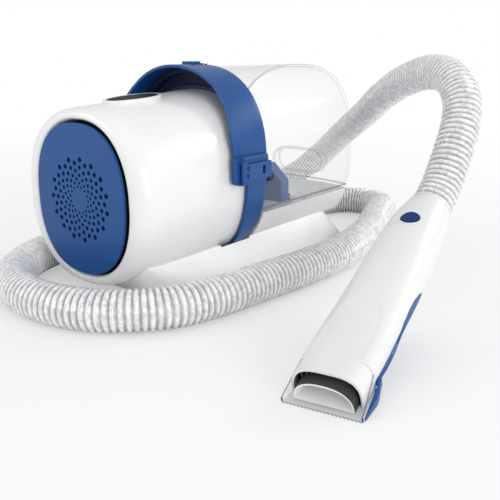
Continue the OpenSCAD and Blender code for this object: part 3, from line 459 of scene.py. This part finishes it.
def hose_plastic(name, colour):
    """Pale ribbed plastic, with painted shade that draws the grooves darker and patchy painted shade that stands in
    for crinkled ribs catching the light unevenly.
    """
    finish, nodes, links, main = shader(name)
    colour = tuple(colour)[:3]
    groove_shade = nodes.new("ShaderNodeAttribute")
    groove_shade.attribute_name = "groove_shade"
    # painted shade: the groove weight turns the colour darker in the grooves between the ribs
    ramp = nodes.new("ShaderNodeValToRGB")
    ramp.color_ramp.elements[0].position = 0.05
    ramp.color_ramp.elements[0].color = tuple(min(1, c * 1.08) for c in colour) + (1,)
    ramp.color_ramp.elements[1].position = 0.95
    ramp.color_ramp.elements[1].color = tuple(c * 0.62 for c in colour) + (1,)
    links.new(groove_shade.outputs["Fac"], ramp.inputs["Fac"])
    # painted shade in noise patches, multiplied into the colour, stands in for crinkled ribs catching the light
    # unevenly
    crinkle_shade_place = nodes.new("ShaderNodeTexCoord")
    crinkle_shade_noise = nodes.new("ShaderNodeTexNoise")
    crinkle_shade_noise.inputs["Scale"].default_value = 130.0
    crinkle_shade_noise.inputs["Detail"].default_value = 5.0
    crinkle_shade_noise.inputs["Distortion"].default_value = 1.2
    shade = nodes.new("ShaderNodeValToRGB")
    shade.color_ramp.elements[0].position = 0.34
    shade.color_ramp.elements[0].color = (0.6, 0.605, 0.62, 1)
    shade.color_ramp.elements[1].position = 0.6
    shade.color_ramp.elements[1].color = (1, 1, 1, 1)
    blend = nodes.new("ShaderNodeMixRGB")
    blend.blend_type = "MULTIPLY"
    blend.inputs["Fac"].default_value = 0.75
    links.new(crinkle_shade_place.outputs["Object"], crinkle_shade_noise.inputs["Vector"])
    links.new(crinkle_shade_noise.outputs["Fac"], shade.inputs["Fac"])
    links.new(ramp.outputs["Color"], blend.inputs["Color1"])
    links.new(shade.outputs["Color"], blend.inputs["Color2"])
    links.new(blend.outputs["Color"], main.inputs["Base Color"])
    main.inputs["Subsurface Weight"].default_value = 0.12
    main.inputs["Subsurface Radius"].default_value = (0.004, 0.004, 0.004)
    main.inputs["Coat Weight"].default_value = 1.0
    main.inputs["Coat Roughness"].default_value = 0.05
    place = grain(nodes, links, main, 210.0, 0.3, 0.0008)
    uneven_gloss(nodes, links, main, place, 0.16, 0.34, 120.0)
    return finish


def soft_stuff(name, colour, scale, strength, low, high):
    """Rubber, foam or filter medium."""
    finish, nodes, links, main = shader(name)
    main.inputs["Specular IOR Level"].default_value = 0.3
    place = grain(nodes, links, main, scale, strength, 0.0006, 6.0)
    uneven_gloss(nodes, links, main, place, low, high, 80.0)
    tinted(nodes, links, main, place, tuple(colour)[:3], 0.2, scale / 3)
    return finish


FINISHES = {}


def finish_for(slot):
    """The finish that the record's slot is drawn in, made once."""
    if slot in FINISHES:
        return FINISHES[slot]
    colours = bpy.context.scene.dryer_colours
    makers = {
        "gloss_white": lambda: moulded("shell_white", colours.shell, 0.2, 0.28, 0.35, 0.015),
        # the base's white is the shell white made lighter: painted light that brightens the low skirt, which the
        # hose and handpiece shade
        "satin_white": lambda: moulded("base_white_painted_light", [c * 1.07 for c in colours.shell], 0.3, 0.4, 0.1, 0.03),
        # the handpiece's white is the shell white made darker: painted shade that tones down the strong key lamp on
        # the handpiece
        "hand_white": lambda: moulded("hand_white", [c * 0.94 for c in colours.shell], 0.3, 0.38, 0.15, 0.02),
        "button_blue": lambda: moulded("button_blue", (0.001, 0.034, 0.15), 0.4, 0.5, 0.0, 0.02, ior=1.25),
        "guard_floor": lambda: clear_plastic("guard_floor", (0.5, 0.51, 0.52), 0.45, 0.6),
        # darker grey for the rounded edges of clear pieces: painted shade along the edges
        "clear_edge": lambda: clear_plastic("clear_edge_painted_shade", (0.16, 0.165, 0.17), 0.6, 0.85),
        "blue": lambda: moulded("band_blue", colours.blue, 0.32, 0.4, 0.0, 0.03, gloss=0.4),
        # partly the bulkhead's own tone, partly painted shade for the recess under the arch
        "deep_blue": lambda: moulded("bulkhead_blue", colours.deep_blue, 0.5, 0.6, 0.0, 0.04),
        "black_glass": lambda: moulded("display_black", (0.004, 0.004, 0.005), 0.35, 0.45, 0.0, 0.01, ior=1.08),
        "clear": lambda: clear_plastic("canister_clear", colours.clear, 0.015, 0.6),
        # dark grey of the inner pieces, also used as painted shade on the scoop's outer face
        "dark_grey": lambda: moulded("dark_grey_and_painted_shade", (0.035, 0.037, 0.042), 0.45, 0.6, 0.0, 0.08, 500.0),
        "light_grey": lambda: hose_plastic("hose_grey", colours.hose),
        "inner_grey": lambda: moulded("inner_grey", (0.42, 0.43, 0.45), 0.4, 0.55, 0.0, 0.06, 500.0),
        "board_green": lambda: moulded("board_green", (0.02, 0.12, 0.06), 0.35, 0.5, 0.1, 0.05, 700.0),
        "steel": lambda: metal("spring_steel", (0.5, 0.5, 0.52), 0.25, 0.4),
        "alloy": lambda: metal("motor_alloy", (0.62, 0.63, 0.65), 0.3, 0.45),
        "mica": lambda: moulded("heater_mica", (0.42, 0.33, 0.2), 0.5, 0.7, 0.0, 0.1, 300.0),
        "black_rubber": lambda: soft_stuff("foot_rubber", (0.02, 0.02, 0.021), 600.0, 0.25, 0.6, 0.8),
        "foam": lambda: soft_stuff("filter_foam", (0.03, 0.032, 0.036), 450.0, 0.9, 0.85, 0.95),
        "filter_paper": lambda: soft_stuff("filter_paper", (0.78, 0.77, 0.72), 300.0, 0.3, 0.8, 0.95),
        "screw_metal": lambda: metal("screw_chrome", (0.78, 0.78, 0.8), 0.08, 0.16, False),
    }
    FINISHES[slot] = makers[slot]()
    return FINISHES[slot]


# ---------------------------------------------------------------- stage, camera and lights


class DRYER_OT_stage(bpy.types.Operator):
    """Sets the pale floor, the soft studio light and the camera."""

    bl_idname = "dryer.stage"
    bl_label = "Stage"

    def execute(self, context):
        scene = context.scene
        scene.view_settings.view_transform = "Standard"
        camera_data = bpy.data.cameras.new("camera")
        camera_data.sensor_width = 36.0
        camera_data.lens = 49.68
        camera_data.clip_end = 50
        camera = bpy.data.objects.new("camera", camera_data)
        scene.collection.objects.link(camera)
        camera.location = (0.5445, -0.6269, 0.2439)
        camera.rotation_euler = (math.radians(90 - 16.1), 0, math.radians(37.1))
        scene.camera = camera

        deselect()
        bpy.ops.mesh.primitive_plane_add(size=14, location=(0, 0, 0))
        floor = context.object
        floor.name = "floor"
        floor.data.materials.append(self.floor_finish())

        world = bpy.data.worlds.new("studio")
        scene.world = world
        world.use_nodes = True
        nodes, links = world.node_tree.nodes, world.node_tree.links
        soft = nodes["Background"]
        soft.inputs["Color"].default_value = (1, 1, 1, 1)
        soft.inputs["Strength"].default_value = 0.76
        seen = nodes.new("ShaderNodeBackground")
        seen.inputs["Color"].default_value = (1, 1, 1, 1)
        seen.inputs["Strength"].default_value = 1.0
        path = nodes.new("ShaderNodeLightPath")
        choose = nodes.new("ShaderNodeMixShader")
        links.new(path.outputs["Is Camera Ray"], choose.inputs["Fac"])
        links.new(soft.outputs["Background"], choose.inputs[1])
        links.new(seen.outputs["Background"], choose.inputs[2])
        links.new(choose.outputs["Shader"], nodes["World Output"].inputs["Surface"])

        self.lamp("key", (3.7, -1.2, 0.8), (0.1, 0.0, 0.1), 2.2, 56)
        self.lamp("left", (-1.2, -1.6, 1.0), (0.0, 0.0, 0.1), 1.2, 7)
        self.lamp("back", (1.05, 1.78, 1.2), (0.05, 0.0, 0.15), 0.7, 9)
        return {"FINISHED"}

    def lamp(self, name, place, target, size, power):
        light = bpy.data.lights.new(name, "AREA")
        light.shape = "DISK"
        light.size = size
        light.energy = power
        lamp = bpy.data.objects.new(name, light)
        bpy.context.scene.collection.objects.link(lamp)
        lamp.location = place
        aim = Vector(target) - Vector(place)
        lamp.rotation_euler = aim.to_track_quat("-Z", "Y").to_euler()

    def floor_finish(self):
        """White floor that keeps soft shadows near the object and is plain white further off."""
        finish, nodes, links, main = shader("floor_white")
        nodes.remove(main)
        output = nodes["Material Output"]
        lit = nodes.new("ShaderNodeBsdfDiffuse")
        lit.inputs["Color"].default_value = (0.93, 0.932, 0.935, 1)
        glow = nodes.new("ShaderNodeEmission")
        glow.inputs["Color"].default_value = (1, 1, 1, 1)
        place = nodes.new("ShaderNodeTexCoord")
        far = nodes.new("ShaderNodeVectorMath")
        far.operation = "LENGTH"
        span = nodes.new("ShaderNodeMapRange")
        span.inputs["From Min"].default_value = 0.3
        span.inputs["From Max"].default_value = 1.5
        span.inputs["To Min"].default_value = 0.42
        span.inputs["To Max"].default_value = 1.0
        path = nodes.new("ShaderNodeLightPath")
        seen = nodes.new("ShaderNodeMath")
        seen.operation = "MULTIPLY"
        choose = nodes.new("ShaderNodeMixShader")
        links.new(place.outputs["Object"], far.inputs[0])
        links.new(far.outputs["Value"], span.inputs["Value"])
        links.new(span.outputs["Result"], seen.inputs[0])
        links.new(path.outputs["Is Camera Ray"], seen.inputs[1])
        links.new(seen.outputs["Value"], choose.inputs["Fac"])
        links.new(lit.outputs["BSDF"], choose.inputs[1])
        links.new(glow.outputs["Emission"], choose.inputs[2])
        links.new(choose.outputs["Shader"], output.inputs["Surface"])
        return finish


# ---------------------------------------------------------------- hose


class DRYER_OT_hose(bpy.types.Operator):
    """Models the corrugated hose along its route."""

    bl_idname = "dryer.hose"
    bl_label = "Hose"

    def execute(self, context):
        sizes = context.scene.dryer_sizes
        radius = sizes.hose_diameter / 2
        line = smooth_path(HOSE_ROUTE, 16)
        for point in line:
            point.z = max(point.z, radius)
        path = even_path(line, sizes.rib_pitch / RIB_RINGS)
        side = Vector((1, 0, 0))
        rings, grooves = [], []
        for i, point in enumerate(path):
            ahead = path[min(i + 1, len(path) - 1)] - path[max(i - 1, 0)]
            ahead.normalize()
            side = (side - ahead * side.dot(ahead)).normalized()
            lift = ahead.cross(side)
            wave = math.sin(math.pi * (i % RIB_RINGS) / RIB_RINGS) ** 4
            grooves += [wave] * HOSE_SIDES
            reach = radius - sizes.rib_depth * wave
            turns = [2 * math.pi * step / HOSE_SIDES for step in range(HOSE_SIDES)]
            rings.append([point + reach * (math.cos(turn) * side + math.sin(turn) * lift) for turn in turns])
        hose = skin("hose_ribbed", rings, caps=True)
        # groove weight for each point, which the hose finish turns into painted shade
        groove_shade_mark = hose.data.attributes.new("groove_shade", "FLOAT", "POINT")
        groove_shade_mark.data.foreach_set("value", grooves)
        smooth(hose, 70)
        finish_piece(hose, finish_for("light_grey"), "hose")
        return {"FINISHED"}


# ---------------------------------------------------------------- body


def housing_section(y, inset=0.0):
    """Half width, half height and middle of the housing at a place along Y."""
    sizes = bpy.context.scene.dryer_sizes
    rim_y = HOUSING_LOW.y + sizes.rim_depth
    share = (y - rim_y) / (HOUSING_HIGH.y - rim_y)
    rear_mid = (HOUSING_LOW.z + HOUSING_HIGH.z) / 2
    rear_half_h = (HOUSING_HIGH.z - HOUSING_LOW.z) / 2
    return (
        mix(FRONT_HALF, HOUSING_HIGH.x, share) - inset,
        mix(FRONT_HALF, rear_half_h, share) - inset,
        mix(FRONT_MIDDLE, rear_mid, share),
    )


class DRYER_OT_housing(bpy.types.Operator):
    """Models the glossy motor housing with its rolled front rim."""

    bl_idname = "dryer.housing"
    bl_label = "Motor housing"

    def execute(self, context):
        sizes = context.scene.dryer_sizes
        power, middle = HOUSING_POWER, FRONT_MIDDLE
        roll_power, wall = 2.6, 0.003
        lip_w, lip_h = 0.070, 0.082
        front, rear = HOUSING_LOW.y, HOUSING_HIGH.y
        rim_y = front + sizes.rim_depth
        throat_y = front + 0.015
        rings = []
        for share in range(19):
            turn = math.pi / 2 * share / 18
            out = math.sin(turn) ** (2 / roll_power)
            back = 1 - max(0.0, math.cos(turn)) ** (2 / roll_power)
            rings.append(ring_y(
                mix(lip_w + 0.0006, FRONT_HALF, out), mix(lip_h + 0.0006, FRONT_HALF, out),
                middle, power, front + sizes.rim_depth * back))
        for share in range(1, 13):
            y = mix(rim_y, rear, share / 12)
            half_w, half_h, mid = housing_section(y)
            rings.append(ring_y(half_w, half_h, mid, power, y))
        half_w, half_h, mid = housing_section(rear, wall)
        rings.append(ring_y(half_w, half_h, mid, power, rear))
        for share in range(6, -1, -1):
            turn = math.pi / 2 * share / 6
            rings.append(ring_y(
                mix(lip_w + wall, FRONT_HALF - wall, math.sin(turn)),
                mix(lip_h + wall, FRONT_HALF - wall, math.sin(turn)),
                middle, power, throat_y - 0.008 + (rim_y - throat_y + 0.01) * (1 - math.cos(turn))))
        rings.append(ring_y(lip_w + wall, lip_h + wall, middle, power, throat_y))
        roll_in, roll_back = 0.0036, 0.0075
        rings.append(ring_y(lip_w - roll_in, lip_h - roll_in, middle, power, throat_y))
        for share in range(10, 0, -1):
            turn = math.pi / 2 * share / 10
            reach = roll_in * math.sin(turn)
            rings.append(ring_y(
                lip_w - reach, lip_h - reach, middle, power, front + 0.0004 + roll_back * (1 - math.cos(turn))))
        piece = skin("housing_shell", rings, loop=True)
        smooth(piece, 40)
        finish_piece(piece, finish_for("gloss_white"), "motor_housing")
        return {"FINISHED"}


def hand_section(s):
    """The handpiece's section at a distance from the mouth, on a smooth line through the given ones."""
    s = s / MM
    rows = HAND_SECTIONS
    i = 0
    while i < len(rows) - 2 and s > rows[i + 1][0]:
        i += 1
    low, high = rows[i], rows[i + 1]
    before, after = rows[max(i - 1, 0)], rows[min(i + 2, len(rows) - 1)]
    span = high[0] - low[0]
    t = (s - low[0]) / span
    values = []
    for k in range(1, 6):
        start = (high[k] - before[k]) / (high[0] - before[0]) * span
        end = (after[k] - low[k]) / (after[0] - low[0]) * span
        values.append(
            (2 * t ** 3 - 3 * t ** 2 + 1) * low[k] + (t ** 3 - 2 * t ** 2 + t) * start
            + (3 * t ** 2 - 2 * t ** 3) * high[k] + (t ** 3 - t ** 2) * end)
    half_w, bottom, top, upper, lower = values
    return half_w * MM, bottom * MM, top * MM, upper, lower


def hand_ring(s, inset, dent=None, count=144):
    """A ring of the handpiece, drawn in by the inset and by the dent on its upper side."""
    half_w, bottom, top, upper, lower = hand_section(s)
    middle, half_h = (bottom + top) / 2, (top - bottom) / 2
    ring = []
    for step in range(count):
        turn = 2 * math.pi * step / count
        cosine, sine = math.cos(turn), math.sin(turn)
        power = lower if sine < 0 else upper
        x = math.copysign(abs(cosine) ** (2 / power), cosine)
        z = math.copysign(abs(sine) ** (2 / power), sine)
        sink = inset + (dent(half_w * x, s) if dent and sine > 0.2 else 0)
        ring.append(Vector(((half_w - sink) * x, s, middle + (half_h - sink) * z)))
    return ring


def hand_tube(name, start, end, dent=None):
    """A shell of the handpiece with rounded ends."""
    wall, edge = 2.4 * MM, 0.5 * MM
    steps = max(8, round((end - start) / (1.6 * MM)))
    rings = [hand_ring(start, edge, dent), hand_ring(start + 0.15 * MM, 0.2 * MM, dent)]
    rings += [hand_ring(mix(start + edge, end - edge, i / steps), 0, dent) for i in range(steps + 1)]
    rings += [hand_ring(end - 0.15 * MM, 0.2 * MM, dent), hand_ring(end, edge, dent)]
    rings += [hand_ring(mix(end, start, i / 12), wall) for i in range(13)]
    return place_local(skin(name, rings, loop=True), HAND_FRAME)


class DRYER_OT_hand(bpy.types.Operator):
    """Models the long shell of the handpiece, with the shallow panel on its top."""

    bl_idname = "dryer.hand"
    bl_label = "Handpiece shell"

    def execute(self, context):
        depth = context.scene.dryer_sizes.panel_depth

        def panel(x, s):
            across = abs((x + 1 * MM) / (19 * MM))
            along = max(0.0, (s - 66 * MM) / (36 * MM))
            reach = (across ** 2.6 + along ** 2.6) ** (1 / 2.6)
            t = min(1.0, max(0.0, (1.04 - reach) / 0.09))
            return depth * t * t * (3 - 2 * t)

        piece = hand_tube("hand_shell_smooth", HAND_SECTIONS[0][0] * MM, HAND_SEAM, panel)
        smooth(piece, 40)
        finish_piece(piece, finish_for("hand_white"), "hand_shell")
        return {"FINISHED"}


class DRYER_OT_keel(bpy.types.Operator):
    """Models the blue keel that wraps the handpiece's lower edge and ends in a tip beside the mouth."""

    bl_idname = "dryer.keel"
    bl_label = "Keel"

    # distance from the mouth, height of the upper edge and thickness on the right side
    EDGE = (
        (34, 6.0, 2.0), (46, 6.0, 2.5), (58, 6.2, 2.9), (70, 6.6, 2.9), (80, 6.4, 2.7), (87, 6.2, 2.2),
        (96, 8.6, 1.6), (107, 12.0, 1.4), (119, 14.2, 1.3), (132, 14.6, 1.1), (144, 12.6, 0.9), (153, 9.4, 0.6),
        (159, 5.6, 0.3))
    # distance from the mouth, inner and outer place, bottom and top of the tip
    TIP = (
        (44, 27.0, 29.8, -2.1, 5.2), (33.2, 29.7, 32.0, -2.1, 5.2), (28, 30.0, 33.2, -2.0, 5.1),
        (22, 30.4, 33.8, -1.7, 4.8), (14, 30.9, 33.2, -1.0, 4.2), (5, 31.45, 32.4, -0.2, 3.2),
        (2, 31.6, 31.9, 0.2, 2.6))

    def execute(self, context):
        rings = []
        steps = 60
        for step in range(steps + 1):
            s = mix(self.EDGE[0][0], self.EDGE[-1][0], step / steps)
            edge, thick = self.at(s)
            rings.append(self.section(s, edge, thick))
        wrap = skin("keel", rings, caps=True)
        tip = skin("keel_tip", [self.block(*row) for row in self.TIP], caps=True)
        sole = skin("keel_sole", [
            self.block(38, -27, 27.4, -1.9, -0.3), self.block(16, -25, 26, -1.9, -0.3)], caps=True)
        for piece in (tip, sole):
            soften(piece, 0.35 * MM, 3)
        bpy.ops.object.select_all(action="DESELECT")
        for piece in (wrap, tip, sole):
            piece.select_set(True)
        context.view_layer.objects.active = wrap
        bpy.ops.object.join()
        place_local(wrap, HAND_FRAME)
        smooth(wrap, 45)
        finish_piece(wrap, finish_for("blue"), "hand_keel")
        return {"FINISHED"}

    def at(self, s):
        """Upper edge and thickness at a distance from the mouth."""
        for low, high in zip(self.EDGE, self.EDGE[1:]):
            if s <= high[0]:
                share = max(0.0, (s - low[0]) / (high[0] - low[0]))
                share = share * share * (3 - 2 * share)
                return mix(low[1], high[1], share) * MM, mix(low[2], high[2], share) * MM
        return self.EDGE[-1][1] * MM, self.EDGE[-1][2] * MM

    def section(self, s, edge, thick):
        """A band from the left side, under the handpiece, to the upper edge on the right."""
        half_w, bottom, top, upper, lower = hand_section(s * MM)
        middle, half_h = (bottom + top) / 2, (top - bottom) / 2
        left = -math.pi + math.asin(min(1.0, (middle - 3.2 * MM) / half_h) ** (lower / 2))
        power = lower if edge < middle else upper
        right = math.copysign(math.asin(min(1.0, abs(edge - middle) / half_h) ** (power / 2)), edge - middle)
        outer, inner = [], []
        count = 48
        drop = 2.2 * MM * min(1.0, max(0.15, (165 - s) / 50))
        for step in range(count + 1):
            turn = mix(left, right, step / count)
            cosine, sine = math.cos(turn), math.sin(turn)
            power = lower if sine < 0 else upper
            x = half_w * math.copysign(abs(cosine) ** (2 / power), cosine)
            z = middle + half_h * math.copysign(abs(sine) ** (2 / power), sine)
            near_end = min(1.0, (count - step) / 3) ** 0.5
            out = (thick if cosine > 0 else min(thick, 0.9 * MM)) * near_end * min(1.0, step / 2)
            under = drop * abs(min(0.0, sine)) ** 0.6
            outer.append(Vector((x + math.copysign(out * min(1.0, abs(cosine) * 1.6), cosine), s * MM, z - under)))
            inner.append(Vector((x * 0.985, s * MM, z + 0.3 * MM * abs(min(0.0, sine)))))
        return outer + inner[::-1]

    def block(self, s, low_x, high_x, low_z, high_z):
        """Four corners of a straight-sided section."""
        return [Vector((x * MM, s * MM, z * MM)) for x, z in (
            (low_x, low_z), (high_x, low_z), (high_x, high_z), (low_x, high_z))]


class DRYER_OT_catch_pin(bpy.types.Operator):
    """Models the small bright pin that holds the catch tab's right end."""

    bl_idname = "dryer.catch_pin"
    bl_label = "Catch pin"

    def execute(self, context):
        sizes = context.scene.dryer_sizes
        low, high = (Vector(corner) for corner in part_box("catch_tab"))
        middle_y = (low.y + high.y) / 2 + 2 * MM
        top = high.z - 1.6 * MM
        radius = sizes.pin_diameter / 2
        rows = [(0.0, 0.8), (0.0, 1.0), (2.2, 1.0), (2.4, 0.62), (6.2, 0.62), (6.4, 1.0), (8.4, 1.0), (8.8, 0.7)]
        rings = []
        for reach, share in rows:
            x = high.x + (0.6 + reach) * MM
            rings.append([Vector((
                x, middle_y + radius * share * math.cos(2 * math.pi * k / 24),
                top - 0.045 * (x - high.x) + radius * share * math.sin(2 * math.pi * k / 24))) for k in range(24)])
        pin = skin("catch_pin", rings, caps=True)
        smooth(pin, 40)
        finish_piece(pin, finish_for("screw_metal"), "carry_arch", replaces=False)
        return {"FINISHED"}


class DRYER_OT_nodes(bpy.types.Operator):
    """Rounds the edges of the moulded pieces that keep the frame's form."""

    bl_idname = "dryer.nodes"
    bl_label = "Moulded pieces"

    # node name: (edge radius in millimetres, segments)
    ROUNDED = {
        "intake_cover": (0.7, 3), "display_bezel": (1.6, 4), "display_lens": (0.5, 3),
        "carry_arch": (0.8, 3), "strap_right": (0.8, 3), "strap_left": (0.8, 3),
        "bracket_right": (0.7, 3), "bracket_left": (0.7, 3), "latch_right": (0.5, 3), "latch_left": (0.5, 3),
        "catch_tab": (0.7, 3), "catch_hook": (0.8, 2),
        "stop_block_right": (1.4, 4), "stop_block_left": (1.4, 4), "guide_studs": (0.8, 3),
        "tray_screws": (0.3, 2), "filter_pleats": (0.3, 1), "filter_caps": (0.6, 2),
        "base": (0.6, 2), "hose_port": (0.8, 3), "hose_cuff": (0.5, 2), "push_button": (0.8, 4),
        "bulkhead": (0.5, 2), "seal_collar": (0.6, 2),
        "hand_tail": (0.4, 2), "head_shell": (0.5, 3), "mouth_arch": (0.35, 2),
        "head_bars": (0.2, 1),
    }

    # clear pieces, whose rounded edges get a darker grey finish: painted shade for the dark lines along the edges of
    # clear plastic
    CLEAR = {"canister_hood": (1.1, 3), "canister_tray": (0.7, 2), "pull_loop": (1.0, 3), "toothed_guard": (0.35, 2)}

    # pieces whose finish differs from that of their slot
    OTHER_FINISH = {
        "hand_tail": "hand_white", "head_shell": "hand_white", "mouth_arch": "hand_white",
        "push_button": "button_blue"}

    def execute(self, context):
        for node, (width, segments) in self.ROUNDED.items():
            finish = finish_for(self.OTHER_FINISH.get(node, slot_of_node(node)))
            rounded_node(node, finish, width * MM, segments)
        for node, (width, segments) in self.CLEAR.items():
            rounded_node(
                node, finish_for(slot_of_node(node)), width * MM, segments, edge_shade_finish=finish_for("clear_edge"))
        back = HAND_FRAME.inverted()
        turn = back.to_3x3()
        # the button's cap is a little smaller than its hole
        cap = bpy.data.objects["push_button_form"]
        middle = Matrix.Translation((0, BUTTON_PLACE, 0))
        shrink = Matrix.Diagonal((0.93, 0.93, 1, 1))
        place_local(cap, HAND_FRAME @ middle @ shrink @ middle.inverted() @ back)
        # the scoop's outer face behind its lip is drawn in dark grey: painted shade for the dark gap there
        scoop = bpy.data.objects["mouth_arch_form"]
        scoop.data.materials.append(finish_for("dark_grey"))
        for face in scoop.data.polygons:
            centre, facing = back @ face.center, turn @ face.normal
            outside = centre.x * facing.x + (centre.z - 5 * MM) * facing.z > 0
            if outside and centre.z > 2 * MM and centre.y > 6.4 * MM and abs(facing.y) < 0.7:
                face.material_index = 1
        # the teeth are drawn in dark grey, the cut rims of the clear guard take the darker edge finish as painted
        # shade, and its floor a lighter finish of its own
        guard = bpy.data.objects["toothed_guard_form"]
        guard.data.materials.append(finish_for("guard_floor"))
        guard.data.materials.append(finish_for("dark_grey"))
        for face in guard.data.polygons:
            centre, facing = back @ face.center, turn @ face.normal
            forward = centre.y < 3.2 * MM and facing.y < -0.4
            if forward and centre.z < 2 * MM:
                face.material_index = 3
            elif forward or facing.z > 0.5 and centre.z > 2 * MM:
                face.material_index = 1
            elif facing.z > 0.7 and centre.z < 2 * MM:
                face.material_index = 2
        return {"FINISHED"}


class DRYER_OT_inner(bpy.types.Operator):
    """Gives the pieces inside the housing and under the base their finishes."""

    bl_idname = "dryer.inner"
    bl_label = "Inner pieces"

    INNER = (
        "intake_frame", "foam_filter", "control_board", "motor", "motor_mounts", "front_baffle", "rear_baffle",
        "fan_wheel", "heater_frame", "latch_pins", "catch_spring", "base_plate", "base_screws", "foot_ring",
        "air_duct", "button_switch")

    def execute(self, context):
        for node in self.INNER:
            piece = frame["nodes"][node]
            for slot in piece.material_slots:
                slot.material = finish_for(slot_of_node(node))
        return {"FINISHED"}


# ---------------------------------------------------------------- add-on


class DRYER_PT_pieces(bpy.types.Panel):
    """Lists the dryer's pieces in the sidebar."""

    bl_idname = "DRYER_PT_pieces"
    bl_label = "Pet dryer"
    bl_space_type = "VIEW_3D"
    bl_region_type = "UI"
    bl_category = "Dryer"

    def draw(self, context):
        layout = self.layout
        for group in (context.scene.dryer_sizes, context.scene.dryer_colours):
            for name in group.__annotations__:
                layout.prop(group, name)
        for operator in PIECE_OPERATORS:
            layout.operator(operator.bl_idname)


PIECE_OPERATORS = (
    DRYER_OT_stage,
    DRYER_OT_hose,
    DRYER_OT_housing,
    DRYER_OT_hand,
    DRYER_OT_keel,
    DRYER_OT_catch_pin,
    DRYER_OT_nodes,
    DRYER_OT_inner,
)
CLASSES = (DryerSizes, DryerColours) + PIECE_OPERATORS + (DRYER_PT_pieces,)


def register():
    for cls in CLASSES:
        bpy.utils.register_class(cls)
    bpy.types.Scene.dryer_sizes = bpy.props.PointerProperty(type=DryerSizes)
    bpy.types.Scene.dryer_colours = bpy.props.PointerProperty(type=DryerColours)


def unregister():
    del bpy.types.Scene.dryer_colours
    del bpy.types.Scene.dryer_sizes
    for cls in reversed(CLASSES):
        bpy.utils.unregister_class(cls)


def main():
    register()
    bpy.ops.dryer.stage()
    bpy.ops.dryer.hose()
    bpy.ops.dryer.housing()
    bpy.ops.dryer.hand()
    bpy.ops.dryer.keel()
    bpy.ops.dryer.catch_pin()
    bpy.ops.dryer.nodes()
    bpy.ops.dryer.inner()
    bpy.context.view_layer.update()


if __name__ == "__main__":
    main()
